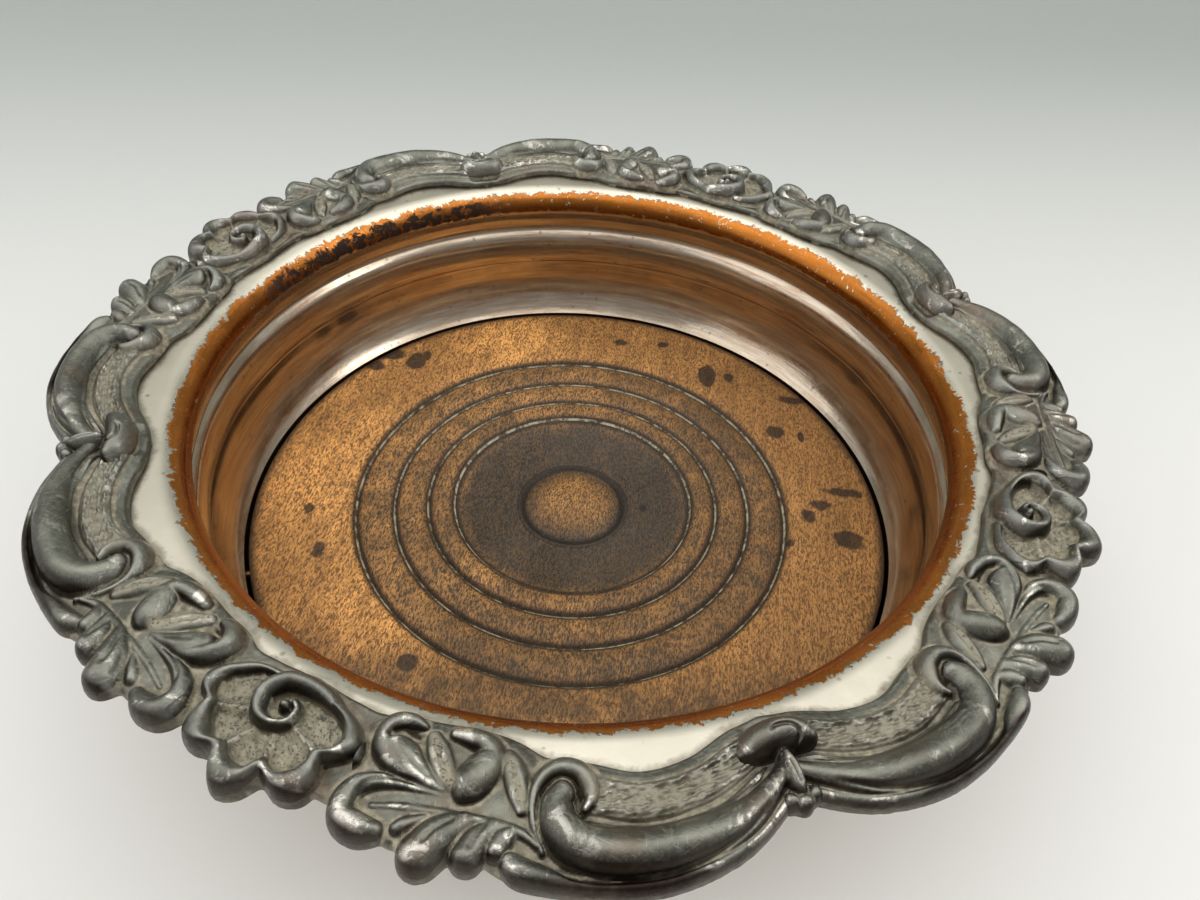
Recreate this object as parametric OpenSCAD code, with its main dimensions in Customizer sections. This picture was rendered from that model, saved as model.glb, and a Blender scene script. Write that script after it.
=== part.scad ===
// Wine bottle coaster: a raised sheet cup on a turned wooden base, with a wide relief border.
// The origin is on the table under the centre of the cup, and the border repeats every quarter turn.

/* [Cup] */
// Inside radius of the cup beside the wooden floor
well_r = 63; // [54:1:76]
// Height of the flange above the wooden floor
wall_h = 32; // [27:0.5:40]
// How far the belly of the wall swells beyond the cup's radius
swell = 4; // [2.5:0.25:5.5]
// Radius of the rolled lip at the mouth
roll_r = 4.5; // [3.5:0.25:6]
// How far the mouth stands outside the cup's radius
mouth_out = 1.8; // [0.5:0.1:3]
// Thickness of the plated copper sheet
sheet_t = 1; // [0.7:0.05:1.3]
// Width of the foot where it is turned in under the wood
foot_lip_w = 4.5; // [3:0.5:7]
// Radius of the bend at the foot
foot_bend_r = 1.2; // [0.8:0.1:1.8]
// Height of the half-round wire round the foot
foot_wire_h = 3; // [2:0.25:4]
// How far the foot wire stands out
foot_wire_w = 1.5; // [1:0.25:2]

/* [Wooden base] */
// Thickness of the turned wooden base at its rim
wood_h = 9; // [7:0.5:13]
// Gap between the wood and the wall
wood_gap = 0.7; // [0.4:0.1:1.2]
// Radius of the outermost turned groove
groove_1_r = 42.8; // [40:0.2:46]
// Radius of the second groove
groove_2_r = 35.4; // [33:0.2:38]
// Radius of the third groove
groove_3_r = 28.9; // [27:0.2:31]
// Radius of the innermost groove, at the edge of the hollow
groove_4_r = 23.7; // [21:0.2:25]
// Depth of the grooves
groove_d = 1.3; // [0.6:0.1:2]
// Depth of the turned hollow
hollow_d = 3.2; // [2.2:0.1:4.5]
// Radius of the ring at the foot of the boss
boss_r = 10.3; // [8:0.1:13]
// Height of the boss above the hollow
boss_h = 2.2; // [1.2:0.1:3]
// Thickness of the cloth under the wood
baize_t = 1.5; // [1:0.1:2]
// Gap round the edge of the cloth
baize_gap = 0.4; // [0.2:0.1:1]

/* [Pins] */
// Number of pins through the foot into the wood
pin_count = 4; // [3:1:6]
// Diameter of a pin
pin_d = 1.4; // [1:0.1:2]
// Length of a pin
pin_l = 9; // [6:0.5:12]
// Diameter of a pin's head
pin_head_d = 2.6; // [2:0.1:3.4]
// Thickness of a pin's head
pin_head_t = 0.6; // [0.4:0.1:1]
// Clearance round a pin
pin_fit = 0.05; // [0.02:0.01:0.1]

/* [Border] */
// Width of the border
border_w = 19; // [15:0.5:23]
// How far the border's inner reach lies inside the start of the flat flange
border_overlap = 0.8; // [0:0.1:1.2]
// Thickness of the border's ground
ground_t = 1.2; // [0.8:0.1:2]
// Height of the fullest relief above the flange
relief_h = 5; // [3.5:0.25:6]
// How far the flange's edge lies inside the ground's edge
flange_inset = 0.8; // [0.4:0.1:1.5]
// Angle of the first knot, from the +X axis
knot_turn = 22.5; // [0:0.5:90]

/* [Hidden] */
// The border has this many repeats, each with two mirrored halves
repeats = 4;
quarter = 360 / repeats;
half_turn = quarter / 2;

// Small runs past a face that a cut goes through
over = 0.5;

// Heights above the table
foot_lift = baize_t - sheet_t;
floor_z = baize_t + wood_h;
flange_z = floor_z + wall_h;

// Radii that follow the cup
mouth_r = well_r + mouth_out;
roll_c_r = mouth_r + roll_r;
roll_c_z = flange_z - roll_r;
wood_r = well_r - wood_gap;
lip_in_r = well_r - foot_lip_w;
border_in_r = roll_c_r - border_overlap;
border_out_r = border_in_r + border_w;

// The relief is drawn on a flat strip and bent round: the strip's width is this share of half a repeat
strip_share = 0.31;

// Places of the two seams in half a repeat, as shares of its angle
scroll_end_share = 0.49;
leaf_end_share = 0.822;

// Edges of the border's ground over half a repeat, from the knot to the shell:
// [share of the angle, share of the border's width]
ground_out_shares = [
    [0, 0.6], [0.1, 0.72], [0.2, 0.84], [0.31, 0.9], [0.45, 0.88], [0.52, 0.86],
    [0.58, 0.77], [0.7, 0.73], [0.81, 0.76], [0.9, 0.8], [1, 0.86]
];
ground_in_shares = [
    [0, 0.04], [0.08, 0.08], [0.18, 0.2], [0.29, 0.245], [0.37, 0.19], [0.42, 0.165], [0.47, 0.15],
    [0.52, 0.08], [0.6, 0.03], [0.7, 0.035], [0.78, 0.04], [0.822, 0.08], [0.89, 0.07], [1, 0.035]
];

// Line of the wall above the wooden floor, in three stretches that meet at creases:
// [share of the swell, share of the wall's height]
belly_shares = [
    [0, 0], [0.28, 0.037], [0.56, 0.094], [0.83, 0.172], [1, 0.281], [0.88, 0.394]
];
neck_shares = [
    [0.72, 0.402], [0.7, 0.425], [0.6, 0.436], [0.52, 0.5], [0.56, 0.578], [0.7, 0.634], [0.95, 0.672]
];
shoulder_shares = [[1.02, 0.703], [0.9, 0.766], [0.65, 0.815]];

// Ribbons of relief: each row is [share of the angle, share of the border's width,
// half width as a share of the border's width, rise as a share of the relief's height]
main_roll_shares = [
    [0.036, 0.5, 0.06, 0.5], [0.12, 0.64, 0.105, 0.82], [0.22, 0.725, 0.122, 0.98],
    [0.32, 0.735, 0.125, 1], [0.39, 0.69, 0.115, 0.98], [0.436, 0.56, 0.1, 0.94],
    [0.44, 0.43, 0.08, 0.84]
];
outer_roll_shares = [
    [0.045, 0.6, 0.045, 0.36], [0.13, 0.755, 0.06, 0.46], [0.24, 0.85, 0.072, 0.56],
    [0.33, 0.87, 0.076, 0.58], [0.4, 0.86, 0.07, 0.56], [0.455, 0.83, 0.055, 0.46]
];
curl_shares = [
    [0.466, 0.64, 0.03, 0.46], [0.475, 0.5, 0.038, 0.55], [0.468, 0.375, 0.045, 0.62],
    [0.448, 0.27, 0.055, 0.7], [0.418, 0.225, 0.06, 0.74], [0.388, 0.25, 0.058, 0.74],
    [0.372, 0.335, 0.05, 0.68], [0.381, 0.42, 0.042, 0.6]
];
// Reeds between the ground's inner edge and the main roll: [share across, rise]
reed_shares = [
    [0.02, 0.3], [0.08, 0.42], [0.14, 0.62], [0.21, 0.64], [0.28, 0.5],
    [0.4, 0.38], [0.58, 0.4], [0.66, 0.5], [0.73, 0.5], [0.8, 0.38], [1, 0.4]
];
reed_start_share = 0.085;
reed_slant_share = 0.05;
reed_end_share = 0.385;
// The main roll's rows up to this share of the angle give the reeds their outer edge
scroll_crest_share = 0.4;

leaf_lobe_shares = [
    // Outer hooked leaf, with its long stem
    [[0.5, 0.64, 0.03, 0.42], [0.54, 0.575, 0.032, 0.44], [0.62, 0.54, 0.038, 0.48],
     [0.7, 0.54, 0.05, 0.58], [0.76, 0.57, 0.075, 0.76], [0.785, 0.66, 0.09, 0.86],
     [0.775, 0.775, 0.1, 0.86], [0.735, 0.82, 0.07, 0.6]],
    // Inner hooked leaf
    [[0.6, 0.47, 0.04, 0.44], [0.67, 0.485, 0.06, 0.62], [0.735, 0.44, 0.088, 0.82],
     [0.775, 0.32, 0.095, 0.86], [0.778, 0.2, 0.085, 0.82], [0.75, 0.115, 0.07, 0.7],
     [0.7, 0.07, 0.04, 0.46]],
    // Leaflet between the inner leaves
    [[0.628, 0.43, 0.045, 0.5], [0.652, 0.31, 0.075, 0.62], [0.664, 0.17, 0.055, 0.5]],
    // Full lobe that turns along the inner edge
    [[0.575, 0.54, 0.07, 0.6], [0.572, 0.42, 0.1, 0.78], [0.572, 0.28, 0.105, 0.84],
     [0.58, 0.15, 0.095, 0.8], [0.61, 0.08, 0.065, 0.62], [0.65, 0.06, 0.045, 0.48]],
    // Slim leaflet beside the scroll's curl
    [[0.503, 0.46, 0.035, 0.44], [0.508, 0.31, 0.055, 0.56], [0.53, 0.18, 0.035, 0.42]],
    // Three outer lobes, the largest next to the hooked leaf
    [[0.6, 0.66, 0.07, 0.62], [0.63, 0.79, 0.105, 0.86], [0.645, 0.9, 0.1, 0.84]],
    [[0.567, 0.67, 0.06, 0.6], [0.577, 0.76, 0.085, 0.76], [0.583, 0.83, 0.075, 0.7]],
    [[0.535, 0.69, 0.05, 0.5], [0.54, 0.76, 0.06, 0.62], [0.545, 0.8, 0.045, 0.56]],
    // Tip against the scroll's back
    [[0.497, 0.87, 0.045, 0.5], [0.511, 0.88, 0.055, 0.56], [0.53, 0.865, 0.045, 0.5]]
];

// Shell: its hinge lies at this share of the border's width
shell_hinge_share = 0.27;
shell_lobes = 5;
// Angle that one lobe fans over, and the half angle of the whole fan
lobe_fan = 38;
fan_half = lobe_fan * shell_lobes / 2;
// Reach of the shell from its hinge: [fan angle as a share of a half turn, share of the border's width]
shell_reach_shares = [
    [0, 0.7], [0.2, 0.665], [0.4, 0.58], [0.54, 0.52], [0.66, 0.42], [0.8, 0.3], [1, 0.235]
];
lobe_depth_share = 0.07;
// Rings of the shell: [share of the reach, rise]
shell_ring_shares = [
    [0.3, 0.36], [0.62, 0.4], [0.78, 0.44], [0.87, 0.72], [0.94, 0.7], [1, 0.42]
];
shell_rib_share = 0.07;
shell_step = 9.5;
// Snail volute on the shell, about its own centre: [turn, reach, half width, rise],
// the turn as a share of a full turn and the reach and half width as shares of the border's width
volute_shares = [
    [0.3, 0.33, 0.045, 0.5], [0.4, 0.27, 0.07, 0.72], [0.52, 0.225, 0.085, 0.88], [0.66, 0.185, 0.085, 0.94],
    [0.8, 0.155, 0.07, 0.9], [0.95, 0.125, 0.05, 0.82], [1.05, 0.11, 0.035, 0.72]
];
volute_up_share = 0.32;
volute_side_share = 0.02;
volute_eye_share = 0.062;
volute_eye_rise_share = 0.88;

// Knot over the meeting of two scrolls, in the same form as the ribbons
knot_bead_shares = [
    [-0.079, 0.19, 0.06, 0.52], [-0.055, 0.185, 0.135, 0.8], [0, 0.18, 0.16, 0.92],
    [0.055, 0.19, 0.135, 0.8], [0.079, 0.2, 0.06, 0.52]
];
knot_fold_shares = [
    [-0.06, 0.26, 0.05, 0.88], [-0.02, 0.27, 0.075, 1], [0.018, 0.25, 0.075, 1], [0.035, 0.2, 0.04, 0.9]
];
knot_leaf_shares = [[0, 0.3, 0.045, 0.76], [0, 0.44, 0.06, 0.72], [0, 0.56, 0.045, 0.6], [0, 0.63, 0.02, 0.5]];
knot_drop_places_shares = [[0, 0.66], [-0.024, 0.61], [0.024, 0.61]];
knot_drop_share = 0.055;
knot_drop_rise_share = 0.66;

// Rounded tip of a ribbon, as shares of its own half width and rise
tip_reach_share = 0.6;
tip_width_share = 0.6;
tip_rise_share = 0.72;

// How full a bead of the turning is
bead_round_share = 0.6;

arc_steps = 8;
line_steps = 4;
lobe_steps = 5;
roll_steps = 8;
arch_steps = 5;
edge_steps = 30;
bead_steps = 6;
facets = 96;

QUARTERS = ["1", "2", "3", "4"];
SIDES = ["left", "right"];

// Blend of two values
function mix(a, b, t) = a + (b - a) * t;

function polar(r, turn) = [r * cos(turn), r * sin(turn)];

function reversed(list) = [for (i = [len(list) - 1:-1:0]) list[i]];

// Smooth curve through all the rows of a table, t running from 0 to 1
function along(rows, t) =
    let (
        last = len(rows) - 1,
        i = min(floor(t * last), last - 1),
        f = t * last - i,
        a = rows[max(i - 1, 0)],
        b = rows[i],
        c = rows[i + 1],
        d = rows[min(i + 2, last)]
    )
    (2 * b + (c - a) * f + (2 * a - 5 * b + 4 * c - d) * f * f + (3 * b - a - 3 * c + d) * f * f * f) / 2;

function smooth(rows, steps) =
    let (n = (len(rows) - 1) * steps)
    [for (i = [0:n]) along(rows, i / n)];

// Value at x of a table of [x, value] rows, eased between rows
function value_at(rows, x, i = 0) =
    i >= len(rows) - 2 || x <= rows[i + 1][0]
        ? mix(rows[i][1], rows[i + 1][1],
              ease((x - rows[i][0]) / (rows[i + 1][0] - rows[i][0])))
        : value_at(rows, x, i + 1);

function ease(t) = let (c = max(0, min(1, t))) c * c * (3 - 2 * c);

// Where a place in half a repeat lies in the plan
function place(a, w) = polar(mix(border_in_r, border_out_r, w), a * half_turn);

// The same, off by a step [along the border, across it] in shares of the strip's width
function off_place(a, w, step) =
    let (
        r = mix(border_in_r, border_out_r, w) + step[1] * border_w,
        run = step[0] * mix(border_in_r, border_out_r, w) * strip_share * half_turn * PI / 180,
        turn = a * half_turn
    )
    [r * cos(turn) - run * sin(turn), r * sin(turn) + run * cos(turn)];

function arc(c, r, from, to) =
    [for (i = [0:arc_steps]) c + polar(r, mix(from, to, i / arc_steps))];

// Normal of an open line at point i, on its left side
function left_of(line, i) =
    let (
        a = line[max(i - 1, 0)],
        b = line[min(i + 1, len(line) - 1)],
        d = (b - a) / norm(b - a)
    )
    [-d[1], d[0]];

// The line thickened to its right side
function thick(line, t) =
    concat(line, reversed([for (i = [0:len(line) - 1]) line[i] - left_of(line, i) * t]));

// Sides of a tube of equal rings, open at both ends
function side_faces(rings, count) =
    [for (i = [0:rings - 2]) for (j = [0:count - 1])
        let (k = (j + 1) % count)
        each [
            [i * count + j, (i + 1) * count + k, i * count + k],
            [i * count + j, (i + 1) * count + j, (i + 1) * count + k]
        ]];

// The same tube closed by flat ends, which suits rings that bulge all round
function tube_faces(rings, count) = concat(
    side_faces(rings, count),
    [[for (j = [0:count - 1]) j]],
    [[for (j = [count - 1:-1:0]) (rings - 1) * count + j]]
);

// Half round ribbon along the rows of a table, its flat side down at z = 0
module ribbon(rows) {
    rings = len(rows);
    strip = [for (row = rows) [row[0] / strip_share, row[1]]];
    points = [
        for (i = [0:rings - 1])
            let (row = rows[i], side = -left_of(strip, i))
            for (j = [0:arch_steps])
                let (
                    turn = 180 * j / arch_steps,
                    xy = off_place(row[0], row[1], side * row[2] * cos(turn))
                )
                [xy[0], xy[1], row[3] * relief_h * sin(turn)]
    ];
    polyhedron(points, tube_faces(rings, arch_steps + 1));
}

// The rows with a rounded tip beyond the last one
function tipped(rows) =
    let (
        n = len(rows) - 1,
        a = rows[n - 1],
        b = rows[n],
        step = [(b[0] - a[0]) / strip_share, b[1] - a[1]],
        reach = step / norm(step) * b[2] * tip_reach_share
    )
    concat(rows, [[b[0] + reach[0] * strip_share, b[1] + reach[1], b[2] * tip_width_share, b[3] * tip_rise_share]]);

// Smooth ribbon from a table of border shares, its far end rounded
module relief(rows, steps) {
    ribbon(tipped([for (i = [0:steps]) along(rows, i / steps)]));
}

// Ground of one mount between two shares of the angle
function edge_line(rows, from, to, inset) =
    let (n = max(4, ceil(edge_steps * (to - from))))
    [for (i = [0:n])
        let (a = mix(from, to, i / n))
        polar(mix(border_in_r, border_out_r, value_at(rows, abs(a))) - inset, a * half_turn)];

module ground(from, to) {
    linear_extrude(ground_t)
        polygon(concat(edge_line(ground_out_shares, from, to, 0), reversed(edge_line(ground_in_shares, from, to, 0))));
}

// Reeded band between the ground's inner edge and the main roll
module reeds() {
    n = roll_steps;
    m = len(reed_shares);
    top = [
        for (i = [0:n])
            for (row = reed_shares)
                let (
                    start = reed_start_share - reed_slant_share * row[0],
                    a = mix(start, reed_end_share, i / n),
                    low = value_at(ground_in_shares, a),
                    high = roll_line(a),
                    xy = place(a, mix(low, high, row[0]))
                )
                [xy[0], xy[1], row[1] * relief_h]
    ];
    // Each ring is the reeds from the inner edge outwards, then three points of the flat underside
    count = m + 3;
    points = [
        for (i = [0:n])
            let (a = top[i * m], b = top[i * m + m - 1])
            each concat(
                [for (j = [0:m - 1]) top[i * m + j]],
                [[b[0], b[1], 0], [(a[0] + b[0]) / 2, (a[1] + b[1]) / 2, 0], [a[0], a[1], 0]]
            )
    ];
    middle = m + 1;
    first = [for (j = [0:count - 1]) if (j != middle && j + 1 != middle) [j, (j + 1) % count, middle]];
    last = [for (f = first) [for (v = reversed(f)) n * count + v]];
    polyhedron(points, concat(side_faces(n + 1, count), first, last));
}

// Share of the width at which the main roll's crest lies
function roll_line(a) = value_at([for (row = main_roll_shares) if (row[0] < scroll_crest_share) [row[0], row[1]]], a);

module gallery_wall() {
    floor_line = [
        [lip_in_r, baize_t],
        each arc([well_r - foot_bend_r, baize_t + foot_bend_r], foot_bend_r, -90, 0)
    ];
    shape = concat(smooth(belly_shares, line_steps), smooth(neck_shares, line_steps), smooth(shoulder_shares, line_steps));
    body_line = [for (p = shape) [well_r + p[0] * swell, floor_z + p[1] * wall_h]];
    lip_line = [each arc([roll_c_r, roll_c_z], roll_r, 180, 90), [border_out_r, flange_z]];
    color("Silver") difference() {
        intersection() {
            rotate_extrude($fn = facets)
                polygon(thick(concat(floor_line, body_line, lip_line), sheet_t));
            translate([0, 0, -over])
                linear_extrude(flange_z + 2 * over)
                    border_outline(flange_inset);
        }
        for (i = [0:pin_count - 1])
            pin_hole(i);
    }
}

// Scalloped outline of the border's ground, drawn in by an inset
module border_outline(inset) {
    line = edge_line(ground_out_shares, -1, 1, inset);
    polygon([
        for (q = [0:repeats - 1])
            let (turn = knot_turn + q * quarter)
            for (i = [0:len(line) - 2])
                [
                    line[i][0] * cos(turn) - line[i][1] * sin(turn),
                    line[i][0] * sin(turn) + line[i][1] * cos(turn)
                ]
    ]);
}

// Half-round wire round the foot
module foot_wire() {
    color("Silver")
        rotate_extrude($fn = facets)
            translate([well_r + sheet_t, foot_lift + foot_bend_r + foot_wire_h / 2])
                polygon([
                    for (i = [0:2 * arc_steps])
                        [foot_wire_w * cos(mix(-90, 90, i / (2 * arc_steps))),
                         foot_wire_h / 2 * sin(mix(-90, 90, i / (2 * arc_steps)))]
                ]);
}

// Convex bead of the turning between two radii, its grooves at both ends
function bead(r_out, r_in) =
    [for (i = [0:bead_steps - 1])
        let (t = i / bead_steps)
        [mix(r_out, r_in, t), floor_z - groove_d * (1 - pow(sin(180 * t), bead_round_share))]];

// Turned hollow and its boss, from the innermost groove to the middle
function hollow_line() = concat(
    [for (i = [0:arc_steps])
        let (t = i / arc_steps)
        [mix(groove_4_r, boss_r, t), floor_z - mix(groove_d, hollow_d, sin(90 * t))]],
    [for (i = [1:arc_steps])
        let (t = i / arc_steps)
        [mix(boss_r, 0, t), floor_z - hollow_d + boss_h * sin(90 * t)]]
);

// The wood's flat rim ends in a shoulder as wide as the groove is deep
module wooden_base() {
    color("Peru") difference() {
        rotate_extrude($fn = facets)
            polygon(concat(
                [[0, baize_t], [wood_r - foot_bend_r, baize_t], [wood_r, baize_t + foot_bend_r],
                 [wood_r, floor_z], [groove_1_r + groove_d, floor_z]],
                bead(groove_1_r, groove_2_r),
                bead(groove_2_r, groove_3_r),
                bead(groove_3_r, groove_4_r),
                hollow_line()
            ));
        for (i = [0:pin_count - 1])
            pin_hole(i);
    }
}

module baize_pad() {
    color("DarkGreen")
        cylinder(h = baize_t, r = lip_in_r - baize_gap, $fn = facets);
}

// Places the children at pin i, pointing at the centre from the outside of the wall
module at_pin(i) {
    rotate([0, 0, knot_turn + i * 360 / pin_count])
        translate([well_r + sheet_t, 0, floor_z - wood_h / 3])
            rotate([0, -90, 0])
                children();
}

module pin_hole(i) {
    at_pin(i)
        translate([0, 0, -over])
            cylinder(h = pin_l + pin_fit + over, d = pin_d + 2 * pin_fit, $fn = facets / 4);
}

// Pins driven through the foot, each with its small head
module base_pins() {
    color("DarkGoldenrod")
        for (i = [0:pin_count - 1])
            at_pin(i) {
                cylinder(h = pin_l, d = pin_d, $fn = facets / 4);
                translate([0, 0, -pin_head_t])
                    cylinder(h = pin_head_t, d = pin_head_d, $fn = facets / 4);
            }
}

// Places the children on the flange at quarter q, measured from its knot
module at_quarter(q) {
    translate([0, 0, flange_z])
        rotate([0, 0, knot_turn + (q - 1) * quarter])
            children();
}

module scroll_mount() {
    color("LightSlateGray") {
        ground(0, scroll_end_share);
        reeds();
        relief(main_roll_shares, roll_steps);
        relief(outer_roll_shares, roll_steps);
        relief(curl_shares, roll_steps);
    }
}

module leaf_mount() {
    color("LightSlateGray") {
        ground(scroll_end_share, leaf_end_share);
        for (rows = leaf_lobe_shares)
            relief(rows, lobe_steps + len(rows) - 3);
    }
}

// Reach of the shell from its hinge at a fan angle, scalloped over the fan, in shares of the strip
function shell_reach(fan) =
    value_at(shell_reach_shares, abs(fan) / 180)
        - (abs(fan) < fan_half ? lobe_depth_share * (1 - lobe_wave(fan)) : lobe_depth_share / 2);

// 1 on the middle of a lobe and 0 between two lobes
function lobe_wave(fan) = sqrt(abs(cos(180 * fan / lobe_fan)));

// Fluted shell as a fan of rings about its hinge, flat below
module shell_fan() {
    n = round(360 / shell_step);
    function at(fan, share, z) =
        let (p = off_place(1, shell_hinge_share, shell_reach(fan) * share * [sin(fan), cos(fan)]))
        [p[0], p[1], z];
    m = len(shell_ring_shares);
    points = concat(
        [for (row = shell_ring_shares) for (i = [0:n - 1])
            let (
                fan = mix(-180, 180, i / n),
                rib = abs(fan) < fan_half ? shell_rib_share * (lobe_wave(fan) - 0.5) * row[0] : 0
            )
            at(fan, row[0], (row[1] + rib) * relief_h)],
        [for (i = [0:n - 1]) at(mix(-180, 180, i / n), 1, 0)],
        [at(0, 0, shell_ring_shares[0][1] * relief_h), at(0, 0, 0)]
    );
    top = (m + 1) * n;
    faces = concat(
        side_faces(m + 1, n),
        [for (i = [0:n - 1]) [i, (i + 1) % n, top]],
        [for (i = [0:n - 1]) [m * n + (i + 1) % n, m * n + i, top + 1]]
    );
    polyhedron(points, [for (f = faces) reversed(f)]);
}

// Volute that winds round a bead over the shell's hinge
module shell_volute() {
    n = 2 * roll_steps;
    a = 1 + volute_side_share * strip_share;
    ribbon([
        for (i = [0:n])
            let (row = along(volute_shares, i / n), turn = 360 * row[0])
            [a + row[1] * sin(turn) * strip_share, volute_up_share + row[1] * cos(turn), row[2], row[3]]
    ]);
    bead_drop(place(a, volute_up_share), volute_eye_share * border_w, volute_eye_rise_share * relief_h);
}

module shell_mount() {
    color("SlateGray") {
        ground(leaf_end_share, 2 - leaf_end_share);
        shell_fan();
        shell_volute();
    }
}

// Round bead of a given top height, standing on z = 0
module bead_drop(xy, r, top) {
    translate([xy[0], xy[1], 0])
        cylinder(h = top - r, r = r, $fn = facets / 2);
    translate([xy[0], xy[1], top - r])
        sphere(r = r, $fn = facets / 2);
}

module knot_mount() {
    color("SlateGray")
        translate([0, 0, ground_t]) {
            relief(knot_bead_shares, roll_steps);
            relief(knot_fold_shares, lobe_steps);
            relief(knot_leaf_shares, lobe_steps);
            for (p = knot_drop_places_shares)
                bead_drop(place(p[0], p[1]), knot_drop_share * border_w, knot_drop_rise_share * relief_h - ground_t);
        }
}

gallery_wall();
foot_wire();
wooden_base();
baize_pad();
base_pins();
for (q = [1:repeats]) {
    at_quarter(q) knot_mount();
    at_quarter(q) shell_mount();
    for (s = [0, 1]) {
        at_quarter(q) mirror([0, s, 0]) scroll_mount();
        at_quarter(q) mirror([0, s, 0]) leaf_mount();
    }
}
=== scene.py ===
"""Looks of a wine bottle coaster: a plated cup with a cast relief border, on a turned wooden base.

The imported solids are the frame, and each piece made here stands on them in the same place, in metres.
"""

import math
from functools import reduce

import bpy
import numpy as np
from bpy.props import FloatProperty, FloatVectorProperty, PointerProperty
from mathutils import Matrix, Vector


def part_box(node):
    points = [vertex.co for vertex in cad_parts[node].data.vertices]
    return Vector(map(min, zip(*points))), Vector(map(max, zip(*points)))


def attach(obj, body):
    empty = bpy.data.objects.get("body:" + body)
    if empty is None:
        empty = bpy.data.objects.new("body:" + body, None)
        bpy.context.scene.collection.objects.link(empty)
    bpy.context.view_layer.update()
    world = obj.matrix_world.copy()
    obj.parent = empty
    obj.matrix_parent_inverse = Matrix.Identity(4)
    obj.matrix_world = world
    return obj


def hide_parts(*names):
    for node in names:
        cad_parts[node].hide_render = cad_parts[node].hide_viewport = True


bl_info = {
    "name": "Wine bottle coaster",
    "version": (1, 0, 0),
    "blender": (4, 5, 0),
    "location": "3D View > Sidebar > Coaster",
    "description": "Dresses the solids of a wine bottle coaster with its border, wood and finishes",
    "category": "Object",
}

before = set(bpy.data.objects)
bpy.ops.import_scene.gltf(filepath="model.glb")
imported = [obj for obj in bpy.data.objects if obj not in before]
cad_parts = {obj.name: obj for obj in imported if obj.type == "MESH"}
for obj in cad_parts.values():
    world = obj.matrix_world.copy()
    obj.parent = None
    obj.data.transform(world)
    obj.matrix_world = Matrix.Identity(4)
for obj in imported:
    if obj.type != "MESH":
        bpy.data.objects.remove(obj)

QUARTERS = (1, 2, 3, 4)
SIDES = ("left", "right")

# Pattern of the border, drawn on a flat strip that is bent round and repeats from knot to knot
# Its values are shares: of the angle from a knot to the next shell along the strip, of the border's width
# across it, and of the fullest relief. A ribbon's row is [along, across, half width, rise].

# Angle from a knot to the next shell
HALF_REPEAT = math.pi / 4
# Border's width as a share of the strip's length from a knot to the next shell
STRIP_SHARE = 0.31
# Places along the strip where the scroll's and the leaf's castings end
SCROLL_END = 0.49
LEAF_END = 0.822

GROUND_OUT = (
    (0, 0.6), (0.1, 0.72), (0.2, 0.84), (0.31, 0.9), (0.45, 0.88), (0.52, 0.86), (0.58, 0.77), (0.7, 0.72),
    (0.78, 0.72), (0.83, 0.69), (0.88, 0.68), (0.94, 0.71), (1, 0.79),
)
GROUND_IN = (
    (0, 0.04), (0.08, 0.08), (0.18, 0.2), (0.29, 0.245), (0.37, 0.19), (0.42, 0.165), (0.47, 0.15),
    (0.52, 0.08), (0.6, 0.03), (0.7, 0.035), (0.78, 0.04), (0.822, 0.08), (0.89, 0.07), (1, 0.035),
)

MAIN_ROLL = (
    (0.0, 0.42, 0.065, 0.62), (0.036, 0.495, 0.088, 0.7), (0.12, 0.645, 0.125, 0.86),
    (0.22, 0.72, 0.148, 0.96), (0.32, 0.738, 0.152, 0.98), (0.39, 0.705, 0.146, 0.98),
    (0.432, 0.605, 0.135, 0.97), (0.443, 0.485, 0.118, 0.92), (0.434, 0.405, 0.096, 0.86),
)
OUTER_ROLL = (
    (0.0, 0.54, 0.05, 0.46), (0.045, 0.635, 0.058, 0.48), (0.13, 0.785, 0.06, 0.5),
    (0.24, 0.885, 0.062, 0.5), (0.33, 0.905, 0.062, 0.5), (0.41, 0.885, 0.066, 0.52),
    (0.46, 0.855, 0.08, 0.56), (0.495, 0.825, 0.088, 0.62), (0.513, 0.785, 0.07, 0.56),
)
CURL = (
    (0.462, 0.73, 0.028, 0.44), (0.477, 0.62, 0.036, 0.52), (0.486, 0.5, 0.045, 0.6),
    (0.483, 0.39, 0.058, 0.68), (0.464, 0.305, 0.08, 0.78), (0.435, 0.268, 0.096, 0.84),
    (0.404, 0.29, 0.098, 0.84), (0.384, 0.36, 0.082, 0.78), (0.381, 0.44, 0.06, 0.7),
    (0.392, 0.5, 0.042, 0.62),
)
# Reeds between the ground's inner edge and the main roll: [share across, rise]
REEDS = (
    (0.0, 0.25), (0.05, 0.31), (0.14, 0.35), (0.19, 0.38), (0.23, 0.52), (0.27, 0.58), (0.33, 0.53),
    (0.42, 0.5), (0.52, 0.5), (0.57, 0.52), (0.61, 0.46), (0.66, 0.39), (0.7, 0.44), (0.75, 0.57),
    (0.8, 0.57), (0.85, 0.42), (0.9, 0.35), (1, 0.42),
)
REED_SPAN = (0.02, 0.4)
# The reeds fade in and out over these shares of their span
REED_FADES = (0.12, 0.03)
# Flat band between the reeds, and its streaks: [rise, narrowing across, pitch, seed]
BAND = (0.2, 0.62)
BAND_FADE = 0.06
BAND_STREAKS = ((0.035, 3, 0.11, 5), (0.025, 2.4, 0.05, 6))

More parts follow.
